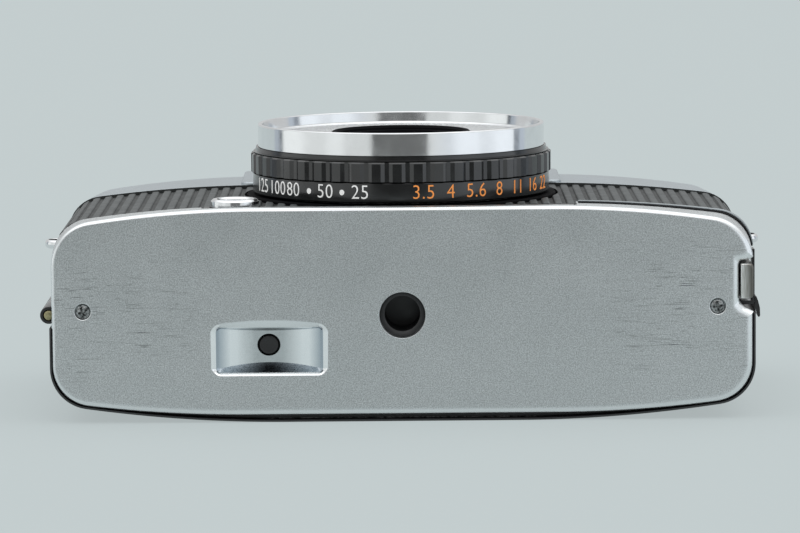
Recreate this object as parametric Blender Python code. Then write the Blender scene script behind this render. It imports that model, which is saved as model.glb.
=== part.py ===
# Half frame camera lying on its back, lens up, as separate solids in one frame.
# X runs along the base plate, Y from the base plate to the top cover, Z out of the lens.
# Sizes are millimetres and become metres when a mesh is made.
import math

import bmesh
import bpy
from mathutils import Vector

MM = 0.001

# Body shell
BODY = {"half": 53.4, "front": 32.8, "rear": 1.2, "arc": 170.0, "swing": 8.5, "corner": 7.0}
BASE_SEAM = {"half": 53.45, "front": 32.8, "rear": 1.2, "arc": 215.0, "swing": 6.9, "corner": 5.6}
LEATHER = {"half": 53.15, "front": 32.45, "rear": 2.0, "arc": 220.0, "swing": 6.8, "corner": 5.3}
COVER_FOOT = {"half": 53.35, "front": 32.75, "rear": 2.2, "arc": 210.0, "swing": 7.2, "corner": 5.6}
COVER = {"half": 53.1, "front": 32.3, "rear": 2.4, "arc": 170.0, "swing": 8.5, "corner": 6.8}
DOOR = {"half": 53.75, "front": 33.0, "rear": 0.0, "arc": 206.0, "swing": 8.9, "corner": 6.5}
ARC_STEPS = 4
CORNER_STEPS = 5
BASE_Y = -33.0
PLATE_THICK = 1.5
WALL_TOP_Y = -25.5
LEATHER_TOP_Y = 6.8
ROOF_Y = 29.5
DECK_Y = 17.6
CHASSIS_INSET = 2.3

# Lens, measured round its own axis
LENS_X = 0.0
LENS_Y = -5.0
LENS_CLEARANCE = 24.7
GRIP_RIBS = 46
GRIP_RADIUS = 23.6
FLAT_RIB = [(0.10, False), (0.28, True), (0.72, True), (0.90, False)]
SHARP_RIB = [(0.25, False), (0.75, True)]
BEZEL_RADIUS = 22.5
RIM_Z = 43.6

# Base plate fittings
SCREWS = {"base_screw_left": (-48.6, 17.2), "base_screw_right": (47.95, 17.3)}
TRIPOD_Z = 16.3
RECESS = {"x": -20.27, "z": 11.66, "half_x": 9.13, "half_z": 4.37, "corner": 1.5, "lift": -0.19,
          "crown": 0.78, "bulge": 0.045}
RECESS_LIP = {"half_x": 8.05, "half_z": 3.36, "corner": 0.6, "lift": -0.6, "depth": 0.6}
RECESS_FLOOR = {"mid_up": 2.15, "end_up": 2.72, "mid_down": 2.72, "end_down": 3.55, "depth": 2.7, "arc": 18.0,
                "fillet": 0.85}
LATCH_LOW_Z = 18.35
LATCH_HIGH_Z = 23.75
BUTTON_X = -20.4
BUTTON_Z = 11.63

# Film path
GATE_HALF_X = 8.6
GATE_HALF_Y = 12.1
GATE_LEFT_X = -12.0
GATE_RIGHT_X = 22.5
FILM_PLANE_Z = 6.0
SPOOL_X = -38.4
SPOOL_Z = 11.9
SPROCKET_X = -20.4
IDLER_X = -29.4
GEAR_MODULE = 0.6
CARTRIDGE_X = 37.5
CARTRIDGE_Z = 15.5
CARTRIDGE_RADIUS = 12.9

# Hinge and controls
HINGE_X = -53.9
HINGE_Z = 16.5
HINGE_RADIUS = 1.325
RELEASE_X = -31.5
RELEASE_Z = 25.0
SHOE_X = 5.0
SYNC_X = -25.5
SYNC_Y = -26.0
LUG_Y = 11.0
LUG_Z = 23.15
LUG_HALF = 0.7
LUG_START_X = 53.4
RIB_PITCH = 1.9
RIB_START_X = 15.95
LEATHER_THICK = 1.2

# Finish name: colour, metallic, roughness
FINISHES = {
    "satin_silver": ((0.50, 0.51, 0.51), 1.0, 0.42),
    "chrome": ((0.82, 0.83, 0.84), 1.0, 0.10),
    "nickel": ((0.62, 0.60, 0.55), 1.0, 0.28),
    "brass": ((0.76, 0.56, 0.27), 1.0, 0.30),
    "steel": ((0.45, 0.45, 0.46), 1.0, 0.35),
    "black_paint": ((0.018, 0.018, 0.019), 0.0, 0.38),
    "black_plastic": ((0.02, 0.02, 0.021), 0.0, 0.45),
    "black_anodised": ((0.025, 0.025, 0.027), 0.3, 0.42),
    "grey_covering": ((0.17, 0.175, 0.17), 0.0, 0.60),
    "black_leather": ((0.03, 0.03, 0.03), 0.0, 0.62),
    "cast_alloy": ((0.30, 0.30, 0.31), 0.8, 0.55),
    "clear_glass": ((0.55, 0.60, 0.62), 0.0, 0.05),
    "coated_glass": ((0.16, 0.14, 0.22), 0.0, 0.04),
    "white_plastic": ((0.80, 0.80, 0.78), 0.0, 0.45),
    "cell_amber": ((0.35, 0.30, 0.22), 0.2, 0.40),
}


def clear_scene():
    for item in list(bpy.data.objects):
        bpy.data.objects.remove(item)


def finish_material(finish):
    known = bpy.data.materials.get(finish)
    if known:
        return known
    colour, metallic, roughness = FINISHES[finish]
    material = bpy.data.materials.new(finish)
    material.use_nodes = True
    shader = material.node_tree.nodes["Principled BSDF"]
    shader.inputs["Base Color"].default_value = (*colour, 1.0)
    shader.inputs["Metallic"].default_value = metallic
    shader.inputs["Roughness"].default_value = roughness
    material.diffuse_color = (*colour, 1.0)
    return material


def solid(bm):
    # A scene object made from a closed mesh; it is named when it is finished.
    bmesh.ops.recalc_face_normals(bm, faces=bm.faces)
    mesh = bpy.data.meshes.new("solid")
    bm.to_mesh(mesh)
    bm.free()
    item = bpy.data.objects.new("solid", mesh)
    bpy.context.scene.collection.objects.link(item)
    return item


def combine(target, tool, operation):
    step = target.modifiers.new("combine", "BOOLEAN")
    step.operation = operation
    step.solver = "EXACT"
    step.object = tool
    bpy.context.view_layer.update()
    graph = bpy.context.evaluated_depsgraph_get()
    result = bpy.data.meshes.new_from_object(target.evaluated_get(graph))
    target.modifiers.clear()
    old = target.data
    target.data = result
    bpy.data.meshes.remove(old)
    bpy.data.objects.remove(tool)
    return target


def cut(target, *tools):
    for tool in tools:
        combine(target, tool, "DIFFERENCE")
    return target


def unite(target, *tools):
    for tool in tools:
        combine(target, tool, "UNION")
    return target


def name_piece(item, name, finish, pivot=(0.0, 0.0, 0.0)):
    # The origin goes to the pivot, so that a moving piece turns about its own axis.
    shift = Vector(pivot) * MM
    for vertex in item.data.vertices:
        vertex.co -= shift
    item.location = shift
    item.name = name
    item.data.name = name
    item.data.materials.clear()
    item.data.materials.append(finish_material(finish))
    for face in item.data.polygons:
        face.material_index = 0
    return item


def loft(rings):
    # A closed skin through rings of equal length, capped at both ends.
    bm = bmesh.new()
    rows = [[bm.verts.new(Vector(point) * MM) for point in ring] for ring in rings]
    count = len(rows[0])
    for low, high in zip(rows, rows[1:]):
        for i in range(count):
            j = (i + 1) % count
            bm.faces.new((low[i], low[j], high[j], high[i]))
    bm.faces.new(rows[0][::-1])
    bm.faces.new(rows[-1])
    return solid(bm)


def along_y(outline, y0, y1):
    return loft([[(x, y, z) for x, z in outline] for y in (y0, y1)])


def along_z(outline, z0, z1):
    return loft([[(x, y, z) for x, y in outline] for z in (z0, z1)])


def box(x0, x1, y0, y1, z0, z1):
    return along_z([(x0, y0), (x1, y0), (x1, y1), (x0, y1)], z0, z1)


def circle(centre, radius, steps, phase=0.0):
    turns = [2.0 * math.pi * i / steps + phase for i in range(steps)]
    return [(centre[0] + radius * math.cos(t), centre[1] + radius * math.sin(t)) for t in turns]


def post_y(x, z, radius, y0, y1, steps=24):
    return along_y(circle((x, z), radius, steps), y0, y1)


def post_z(x, y, radius, z0, z1, steps=48):
    return along_z(circle((x, y), radius, steps), z0, z1)


def tube(outer, inner, low, high, upright):
    # A ring between two outlines of equal length, upright along Z or lying along Y.
    def at(point, height):
        flat = (point[0], point[1], height) if upright else (point[0], height, point[1])
        return Vector(flat) * MM

    bm = bmesh.new()
    order = [(outer, low), (outer, high), (inner, high), (inner, low)]
    rows = [[bm.verts.new(at(point, height)) for point in points] for points, height in order]
    count = len(outer)
    for k in range(4):
        first = rows[k]
        second = rows[(k + 1) % 4]
        for i in range(count):
            j = (i + 1) % count
            bm.faces.new((first[i], first[j], second[j], second[i]))
    return solid(bm)


def turned(profile, centre, steps, upright=True):
    # Turns (radius, height) points round an axis. A profile that touches the axis at both
    # ends makes a solid; any other profile is closed on itself and makes a ring.
    bm = bmesh.new()
    rows = []
    for radius, height in profile:
        spots = [centre] if radius == 0.0 else circle(centre, radius, steps)
        if upright:
            rows.append([bm.verts.new(Vector((a, b, height)) * MM) for a, b in spots])
        else:
            rows.append([bm.verts.new(Vector((a, height, b)) * MM) for a, b in spots])
    pairs = list(zip(rows, rows[1:]))
    if profile[0][0] > 0.0:
        pairs.append((rows[-1], rows[0]))
    for first, second in pairs:
        for i in range(steps):
            j = (i + 1) % steps
            corners = [first[i % len(first)], first[j % len(first)]]
            corners += [second[j % len(second)], second[i % len(second)]]
            bm.faces.new(list(dict.fromkeys(corners)))
    return solid(bm)


def coil(x, z, radius, wire, y0, y1, turns):
    # A helical spring round an axis along Y.
    steps = turns * 8
    rings = []
    for i in range(steps + 1):
        swing = 2.0 * math.pi * i / 8.0
        height = y0 + wire + (y1 - y0 - 2.0 * wire) * i / steps
        ring = []
        for k in range(4):
            tilt = 2.0 * math.pi * k / 4.0
            reach = radius + wire * math.cos(tilt)
            across = x + reach * math.cos(swing)
            ring.append((across, height + wire * math.sin(tilt), z + reach * math.sin(swing)))
        rings.append(ring)
    return loft(rings)


def quarter_curve(shape, inset):
    # From the flat of a long face round to the end face: distance from the middle and
    # depth behind the face.
    swing = math.radians(shape["swing"])
    reach = shape["arc"] - shape["corner"]
    corner_x = shape["half"] - shape["corner"]
    flat = corner_x - reach * math.sin(swing)
    corner_depth = shape["arc"] - reach * math.cos(swing)
    points = []
    for i in range(ARC_STEPS + 1):
        angle = swing * i / ARC_STEPS
        radius = shape["arc"] - inset
        points.append((flat + radius * math.sin(angle), shape["arc"] - radius * math.cos(angle)))
    for i in range(1, CORNER_STEPS + 1):
        angle = swing + (0.5 * math.pi - swing) * i / CORNER_STEPS
        radius = shape["corner"] - inset
        points.append((corner_x + radius * math.sin(angle), corner_depth - radius * math.cos(angle)))
    return points


def body_outline(shape, inset):
    curve = quarter_curve(shape, inset)
    front = [(x, shape["front"] - depth) for x, depth in curve]
    rear = [(x, shape["rear"] + depth) for x, depth in curve]
    right = front + rear[::-1]
    return right + [(-x, z) for x, z in right[::-1]]


def body_loft(shape, stations):
    rings = []
    for y, inset in stations:
        rings.append([(x, y, z) for x, z in body_outline(shape, inset)])
    return loft(rings)


def door_section(outer_inset, inner_inset, left_top, right_top):
    # The lying U of the back: outer line from right to left, inner line back again.
    def line(inset):
        curve = [(x, depth) for x, depth in quarter_curve(DOOR, inset)]
        side = DOOR["half"] - inset
        right = curve + [(side, right_top)]
        left = [(-x, depth) for x, depth in curve] + [(-side, left_top)]
        return right[::-1] + left

    return line(outer_inset) + line(inner_inset)[::-1]


def rounded_box(centre, half_a, half_b, corner, steps=5):
    # Starts at the left middle and runs over the top to the right, then back below with
    # the same stations, so that upper and lower points pair up.
    upper = []
    for i in range(steps + 1):
        angle = math.pi - 0.5 * math.pi * i / steps
        across = -half_a + corner + corner * math.cos(angle)
        upper.append((across, half_b - corner + corner * math.sin(angle)))
    for i in range(1, 8):
        across = -half_a + corner + (2.0 * half_a - 2.0 * corner) * i / 8.0
        upper.append((across, half_b))
    for i in range(steps + 1):
        angle = 0.5 * math.pi - 0.5 * math.pi * i / steps
        across = half_a - corner + corner * math.cos(angle)
        upper.append((across, half_b - corner + corner * math.sin(angle)))
    lower = [(a, -b) for a, b in upper]
    shifted = [[(centre[0] + a, centre[1] + b) for a, b in row] for row in (upper, lower)]
    return shifted[0], shifted[1]


def gear_outline(x, z, teeth, phase=0.0):
    pitch = 0.5 * teeth * GEAR_MODULE
    flank = [(-0.62, -0.48), (0.42, -0.14), (0.42, 0.14), (-0.62, 0.48)]
    points = []
    for k in range(teeth):
        middle = 2.0 * math.pi * k / teeth + phase
        for rise, across in flank:
            radius = pitch + rise
            angle = middle + across / radius
            points.append((x + radius * math.cos(angle), z + radius * math.sin(angle)))
    return points


def knurl_outline(centre, radius, depth, count, marks):
    # Each mark is a share of one rib's pitch, and whether it lies on the top of the rib.
    points = []
    for k in range(count):
        for share, on_top in marks:
            rise = 0.0 if on_top else -depth
            angle = 2.0 * math.pi * (k + share) / count
            reach = radius + rise
            points.append((centre[0] + reach * math.cos(angle), centre[1] + reach * math.sin(angle)))
    return points


def matching_circle(outline, centre, radius):
    # One point of a circle for each point of an outline, in the same direction.
    points = []
    for a, b in outline:
        angle = math.atan2(b - centre[1], a - centre[0])
        points.append((centre[0] + radius * math.cos(angle), centre[1] + radius * math.sin(angle)))
    return points


def scoop_depth(x):
    # Depth of the hollowed floor, with a tight curve up to the lip at both ends.
    flat = RECESS_LIP["half_x"] - RECESS_FLOOR["fillet"]
    if abs(x) <= flat:
        return RECESS_FLOOR["depth"] - x * x / (2.0 * RECESS_FLOOR["arc"])
    rest = abs(x) - flat
    start = RECESS_FLOOR["depth"] - flat * flat / (2.0 * RECESS_FLOOR["arc"])
    slope = flat / RECESS_FLOOR["arc"]
    height = start - slope * RECESS_FLOOR["fillet"] - RECESS_LIP["depth"] - 0.06
    return start - slope * rest - height * (rest / RECESS_FLOOR["fillet"]) ** 2


def recess_cutter():
    # The finger scoop in the base: the face of the plate rolls over to a lip, and steep walls
    # drop from the lip to a hollowed floor.
    upper, lower = rounded_box((0.0, 0.0), RECESS["half_x"], RECESS["half_z"], RECESS["corner"])
    mouth = []
    for x, z in upper + lower[-2:0:-1]:
        share = z / RECESS["half_z"]
        drop = RECESS["crown"] * (x / RECESS["half_x"]) ** 2 * max(0.0, share)
        mouth.append((x * (1.0 - RECESS["bulge"] * share * share), z - drop + RECESS["lift"]))
    half_x, half_z = RECESS_LIP["half_x"], RECESS_LIP["half_z"]
    lip_upper, lip_lower = rounded_box((0.0, 0.0), half_x, half_z, RECESS_LIP["corner"])
    lip = lip_upper + lip_lower[-2:0:-1]
    rows = [[(RECESS["x"] + x, BASE_Y - 0.6, RECESS["z"] + z) for x, z in mouth]]
    for step in (0.0, 0.5, 0.8, 1.0):
        row = []
        for (x, z), (lip_x, lip_z) in zip(mouth, lip):
            sink = BASE_Y + RECESS_LIP["depth"] * step ** 1.3
            across = RECESS["x"] + x + step * (lip_x - x)
            row.append((across, sink, RECESS["z"] + z + step * (lip_z + RECESS_LIP["lift"] - z)))
        rows.append(row)
    bottom = []
    for x, z in lip:
        share = z / half_z
        end = (x / half_x) ** 2
        way = "up" if share > 0.0 else "down"
        middle, far = RECESS_FLOOR["mid_" + way], RECESS_FLOOR["end_" + way]
        reach = middle + end * (far - middle) + (0.3 if share > 0.0 else -0.3)
        bottom.append((RECESS["x"] + 0.985 * x, BASE_Y + scoop_depth(x), RECESS["z"] - 0.3 + share * reach))
    rows.append(bottom)
    bm = bmesh.new()
    rings = [[bm.verts.new(Vector(point) * MM) for point in row] for row in rows]
    count = len(mouth)
    for low, high in zip(rings, rings[1:]):
        for i in range(count):
            j = (i + 1) % count
            bm.faces.new((low[i], low[j], high[j], high[i]))
    bm.faces.new(rings[0])
    floor = rings[-1]
    for i in range(len(upper) - 1):
        ladder = [floor[i], floor[i + 1], floor[-(i + 1) % count], floor[-i % count]]
        bm.faces.new(list(dict.fromkeys(ladder)))
    return solid(bm)


def make_base():
    # The wall of the base widens from its rolled edge to the seam with the covering.
    rings = [(BODY, BASE_Y, 0.95), (BODY, BASE_Y + 0.16, 0.46), (BODY, BASE_Y + 0.5, 0.13),
             (BODY, BASE_Y + 0.95, 0.0), (BASE_SEAM, WALL_TOP_Y, 0.0)]
    plate = loft([[(x, y, z) for x, z in body_outline(shape, inset)] for shape, y, inset in rings])
    floor_y = BASE_Y + PLATE_THICK
    cut(plate, body_loft(BODY, [(floor_y, 1.1), (WALL_TOP_Y + 1.0, 1.1)]))
    cut(plate, box(-60.0, 60.0, floor_y, WALL_TOP_Y + 1.0, -1.0, 18.3))
    cut(plate, box(45.0, 60.0, floor_y, WALL_TOP_Y + 1.0, 16.0, 25.9))
    cut(plate, box(-30.5, 26.7, -30.9, WALL_TOP_Y + 1.0, 27.0, 40.0))
    notch = [(50.85, 18.1), (50.75, 18.5), (50.75, 23.7), (51.2, 24.1), (52.2, 24.15), (53.0, 24.35)]
    notch += [(53.5, 24.75), (54.5, 25.2), (54.5, 16.1), (53.5, 16.4), (52.8, 16.65), (51.9, 17.05)]
    notch += [(51.2, 17.6)]
    cut(plate, along_y(notch, BASE_Y - 1.0, WALL_TOP_Y + 1.0))
    boss = box(RECESS["x"] - 10.4, RECESS["x"] + 10.4, floor_y - 0.3, -29.3, 6.0, 17.7)
    unite(plate, boss)
    cut(plate, recess_cutter())
    cut(plate, post_y(BUTTON_X, BUTTON_Z, 1.66, -34.0, -29.0))
    cut(plate, post_y(0.0, TRIPOD_Z, 3.525, -34.0, -31.0, 48))
    for x, z in SCREWS.values():
        cut(plate, post_y(x, z, 1.22, -34.0, -32.1))
        cut(plate, post_y(x, z, 0.95, -34.0, -31.0))
    name_piece(plate, "base_plate", "satin_silver")

    for name, (x, z) in SCREWS.items():
        head = [(0.0, -32.9), (0.8, -32.9), (1.1, -32.7), (1.1, -32.2)]
        shank = [(0.75, -32.2), (0.75, -30.4), (0.0, -30.4)]
        screw = turned(head + shank, (x, z), 16, upright=False)
        cut(screw, box(x - 0.7, x + 0.7, -33.5, -32.45, z - 0.15, z + 0.15))
        cut(screw, box(x - 0.15, x + 0.15, -33.5, -32.45, z - 0.7, z + 0.7))
        name_piece(screw, name, "steel")

    bush = [(0.0, -22.4), (5.6, -22.4), (5.6, -31.4), (3.5, -31.4), (3.0, -30.7), (3.0, -24.0), (0.0, -24.0)]
    name_piece(turned(bush, (0.0, TRIPOD_Z), 32, upright=False), "tripod_bush", "black_anodised")

    button = [(0.0, -30.52), (1.25, -30.52), (1.42, -30.37), (1.42, -29.1), (2.6, -29.1), (2.6, -28.3)]
    button += [(1.1, -28.3), (1.1, -27.2), (0.0, -27.2)]
    button = turned(button, (BUTTON_X, BUTTON_Z), 20, upright=False)
    name_piece(button, "rewind_button", "black_plastic", (BUTTON_X, -29.0, BUTTON_Z))
    spring = coil(BUTTON_X, BUTTON_Z, 1.95, 0.2, -28.25, -25.7, 3)
    name_piece(spring, "rewind_button_spring", "steel", (BUTTON_X, -25.7, BUTTON_Z))

    low, high = LATCH_LOW_Z, LATCH_HIGH_Z
    slider = box(51.95, 53.2, -30.0, 4.0, low, high)
    foot = [(51.05, low), (52.8, low), (53.3, low + 0.5), (53.3, high - 0.5), (52.8, high), (51.05, high)]
    unite(slider, along_y(foot, -32.7, -30.1))
    unite(slider, box(51.05, 53.2, -30.3, -28.9, low, high))
    grip = [(53.1, -4.0), (53.38, -3.7), (53.38, 2.2), (53.1, 2.5)]
    unite(slider, along_z(grip, low + 0.6, high - 0.6))
    name_piece(slider, "latch_slider", "nickel", (52.1, -30.0, 21.05))

    # A black bridge over the slider, footed on the casting above and below it.
    guide = box(53.4, 53.8, -29.4, -26.4, 17.1, 25.6)
    unite(guide, box(51.2, 53.5, -29.4, -26.4, 24.6, 25.6))
    unite(guide, box(51.2, 53.5, -29.4, -26.4, 17.1, 17.7))
    name_piece(guide, "latch_guide", "black_paint")


def make_chassis():
    chassis = body_loft(BODY, [(-31.2, CHASSIS_INSET), (DECK_Y, CHASSIS_INSET)])
    well_low = -29.8
    well_top = 16.2
    cut(chassis, post_y(CARTRIDGE_X, CARTRIDGE_Z, CARTRIDGE_RADIUS, well_low, well_top, 28))
    cut(chassis, box(CARTRIDGE_X - 12.9, CARTRIDGE_X + 12.9, well_low, well_top, -1.0, CARTRIDGE_Z))
    cut(chassis, post_y(SPOOL_X, SPOOL_Z, 11.0, well_low, well_top, 28))
    cut(chassis, box(SPOOL_X - 11.0, SPOOL_X + 11.0, well_low, well_top, -1.0, SPOOL_Z))
    cut(chassis, post_y(SPROCKET_X, SPOOL_Z, 7.4, -23.6, well_top, 32))
    cut(chassis, box(-28.0, -13.0, -23.6, well_top, -1.0, SPOOL_Z))
    cut(chassis, box(-34.0, 30.0, -23.3, 13.3, -1.0, FILM_PLANE_Z))
    cut(chassis, box(-GATE_HALF_X, GATE_HALF_X, LENS_Y - GATE_HALF_Y, LENS_Y + GATE_HALF_Y, -1.0, 32.0))
    cut(chassis, post_z(LENS_X, LENS_Y, 11.0, 19.0, 32.0))
    cut(chassis, box(RECESS["x"] - 10.8, RECESS["x"] + 10.8, -32.0, -29.0, 5.6, 18.1))
    cut(chassis, post_y(BUTTON_X, BUTTON_Z, 3.2, -32.0, -25.6))
    cut(chassis, post_y(SPROCKET_X, SPOOL_Z, 2.3, -27.0, 19.0))
    cut(chassis, post_y(SPOOL_X, SPOOL_Z, 2.5, 10.0, 19.0))
    cut(chassis, post_y(CARTRIDGE_X, CARTRIDGE_Z, 2.75, 10.0, 19.0))
    cut(chassis, post_y(0.0, TRIPOD_Z, 5.9, -32.0, -22.1, 40))
    cut(chassis, box(50.5, 52.0, -32.0, -28.4, LATCH_LOW_Z - 0.5, LATCH_HIGH_Z + 0.5))
    for x, z in SCREWS.values():
        cut(chassis, post_y(x, z, 1.0, -32.0, -30.1, 20))

    # Three castings bolted together: film drive side, gate and cartridge side.
    spans = (("take_up_housing", -60.0, GATE_LEFT_X - 0.01),
             ("gate_housing", GATE_LEFT_X + 0.01, GATE_RIGHT_X - 0.01),
             ("cartridge_housing", GATE_RIGHT_X + 0.01, 60.0))
    for name, low_x, high_x in spans:
        share = chassis.copy()
        share.data = chassis.data.copy()
        bpy.context.scene.collection.objects.link(share)
        combine(share, box(low_x, high_x, -40.0, 40.0, -5.0, 40.0), "INTERSECT")
        name_piece(share, name, "cast_alloy")
    bpy.data.objects.remove(chassis)


def ribbed_section(side, end_z):
    # Covering strip round the front corner: ribs outside, smooth inside.
    end_depth = LEATHER["front"] - end_z
    curve = [(RIB_START_X, 0.0)] + quarter_curve(LEATHER, 0.0) + [(LEATHER["half"], end_depth)]
    marks = [(0.0, 0.0), (0.62, 0.0), (0.70, 0.35), (0.92, 0.35)]
    lengths = [0.0]
    for first, second in zip(curve, curve[1:]):
        lengths.append(lengths[-1] + math.dist(first, second))
    ribs = int(lengths[-1] / RIB_PITCH)
    stations = [(RIB_PITCH * (k + share), sink) for k in range(ribs) for share, sink in marks]
    outer = []
    for reach, sink in stations:
        k = max(i for i in range(len(curve) - 1) if lengths[i] <= reach)
        first, second = curve[k], curve[k + 1]
        span = lengths[k + 1] - lengths[k]
        share = (reach - lengths[k]) / span
        along = ((second[0] - first[0]) / span, (second[1] - first[1]) / span)
        x = first[0] + share * (second[0] - first[0]) - sink * along[1]
        depth = first[1] + share * (second[1] - first[1]) + sink * along[0]
        outer.append((x, depth))
    outer.append((LEATHER["half"], end_depth))
    inside = quarter_curve(LEATHER, LEATHER_THICK)
    inner = [(RIB_START_X, LEATHER_THICK)] + inside + [(LEATHER["half"] - LEATHER_THICK, end_depth)]
    return [(side * x, LEATHER["front"] - depth) for x, depth in outer + inner[::-1]]


def make_covering():
    left = along_y(ribbed_section(-1.0, 18.2), WALL_TOP_Y + 0.1, LEATHER_TOP_Y)
    cut(left, post_z(LENS_X, LENS_Y, LENS_CLEARANCE, 25.0, 40.0, 72))
    cut(left, post_z(SYNC_X, SYNC_Y, 3.95, 25.0, 40.0, 32))
    name_piece(left, "front_leather_left", "grey_covering")
    right = along_y(ribbed_section(1.0, 16.9), WALL_TOP_Y + 0.1, LEATHER_TOP_Y)
    cut(right, post_z(LENS_X, LENS_Y, LENS_CLEARANCE, 25.0, 40.0, 72))
    cut(right, box(50.0, 60.0, -30.0, 5.2, 16.0, LATCH_HIGH_Z + 0.4))
    name_piece(right, "front_leather_right", "grey_covering")

    board = box(-30.2, 26.4, -30.75, WALL_TOP_Y, 30.9, 32.4)
    cut(board, post_z(LENS_X, LENS_Y, LENS_CLEARANCE, 25.0, 40.0, 72))
    cut(board, post_z(SYNC_X, SYNC_Y, 3.95, 25.0, 40.0, 32))
    name_piece(board, "lens_board", "black_paint")

    collar = [(3.675, 31.0), (3.675, 33.3), (3.4, 33.65), (2.75, 33.65), (2.5, 33.35), (2.5, 31.0)]
    name_piece(turned(collar, (SYNC_X, SYNC_Y), 32), "sync_socket", "chrome")
    pin = [(0.0, 31.0), (2.2, 31.0), (2.2, 32.2), (0.6, 32.2), (0.6, 33.0), (0.0, 33.0)]
    name_piece(turned(pin, (SYNC_X, SYNC_Y), 16), "sync_pin", "white_plastic")


def make_top():
    rings = [(COVER_FOOT, 7.0, 0.0), (COVER, ROOF_Y - 2.2, 0.0), (COVER, ROOF_Y - 1.2, 0.32),
             (COVER, ROOF_Y - 0.4, 1.0), (COVER, ROOF_Y, 2.2)]
    cover = loft([[(x, y, z) for x, z in body_outline(shape, inset)] for shape, y, inset in rings])
    cut(cover, body_loft(COVER, [(6.0, 0.9), (ROOF_Y - 2.2, 0.9), (ROOF_Y - 1.0, 2.0)]))
    cut(cover, box(-60.0, 60.0, 6.0, 18.5, -1.0, 17.3))
    upper, lower = rounded_box((0.0, 17.4), 25.7, 10.4, 1.6)
    unite(cover, along_z(upper + lower[-2:0:-1], 31.7, 33.2))
    cut(cover, post_z(LENS_X, LENS_Y, LENS_CLEARANCE, 30.4, 40.0, 72))
    cut(cover, box(0.3, 9.7, 21.0, 27.2, 28.0, 40.0))
    cut(cover, box(0.8, 9.2, 21.3, 26.9, -1.0, 6.0))
    cut(cover, box(SPOOL_X - 9.9, SPOOL_X + 8.2, 20.1, 24.7, -1.0, 6.2))
    cut(cover, post_y(SPOOL_X, SPOOL_Z, 5.3, 27.0, 31.0, 40))
    cut(cover, post_y(RELEASE_X, RELEASE_Z, 4.35, 27.0, 31.0, 40))
    cut(cover, post_y(CARTRIDGE_X, CARTRIDGE_Z, 2.75, 27.0, 31.0))
    name_piece(cover, "top_cover", "satin_silver")

    name_piece(box(0.5, 9.5, 21.2, 27.0, 31.2, 32.9), "finder_window", "clear_glass")
    name_piece(box(0.9, 9.1, 21.4, 26.8, 6.2, 30.8), "finder_block", "clear_glass")
    name_piece(box(1.0, 9.0, 21.5, 26.7, 1.9, 5.8), "eyepiece", "black_plastic")
    glass = [(0.0, 28.7), (5.0, 28.7), (5.0, 29.5), (4.4, 29.8), (0.0, 30.0)]
    name_piece(turned(glass, (SPOOL_X, SPOOL_Z), 32, upright=False), "counter_window", "clear_glass")

    rail = [(10.75, 29.55), (10.75, 33.0), (6.3, 33.0), (6.3, 32.4), (9.35, 32.4), (9.35, 30.3)]
    section = [(SHOE_X + x, y) for x, y in rail] + [(SHOE_X - x, y) for x, y in rail[::-1]]
    name_piece(along_z(section, 7.5, 26.0), "hot_shoe", "chrome")
    name_piece(post_y(SHOE_X, 16.8, 1.1, 30.31, 30.55, 24), "hot_shoe_contact", "brass")

    for side, name in ((-1.0, "strap_lug_left"), (1.0, "strap_lug_right")):
        arc = [(55.0 + 2.5 * math.sin(t), LUG_Y + 2.5 * math.cos(t))
               for t in [math.pi * i / 12.0 for i in range(13)]]
        outline = [(LUG_START_X, LUG_Y + 2.5)] + arc + [(LUG_START_X, LUG_Y - 2.5)]
        lug = along_z([(side * x, y) for x, y in outline], LUG_Z - LUG_HALF, LUG_Z + LUG_HALF)
        cut(lug, post_z(side * 55.2, LUG_Y, 1.2, LUG_Z - 2.0, LUG_Z + 2.0, 24))
        name_piece(lug, name, "chrome")

    name_piece(post_y(22.0, 20.0, 6.0, 18.0, 25.0, 32), "meter_movement", "brass")

    button = [(0.0, 32.0), (2.6, 32.0), (3.7, 31.7), (4.0, 31.2), (4.0, 27.0)]
    button += [(1.5, 27.0), (1.5, 20.8), (0.0, 20.8)]
    button = turned(button, (RELEASE_X, RELEASE_Z), 28, upright=False)
    name_piece(button, "release_button", "chrome", (RELEASE_X, 30.0, RELEASE_Z))
    spring = coil(RELEASE_X, RELEASE_Z, 2.4, 0.25, DECK_Y + 0.1, 26.9, 6)
    name_piece(spring, "release_spring", "steel", (RELEASE_X, DECK_Y + 0.1, RELEASE_Z))


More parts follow.
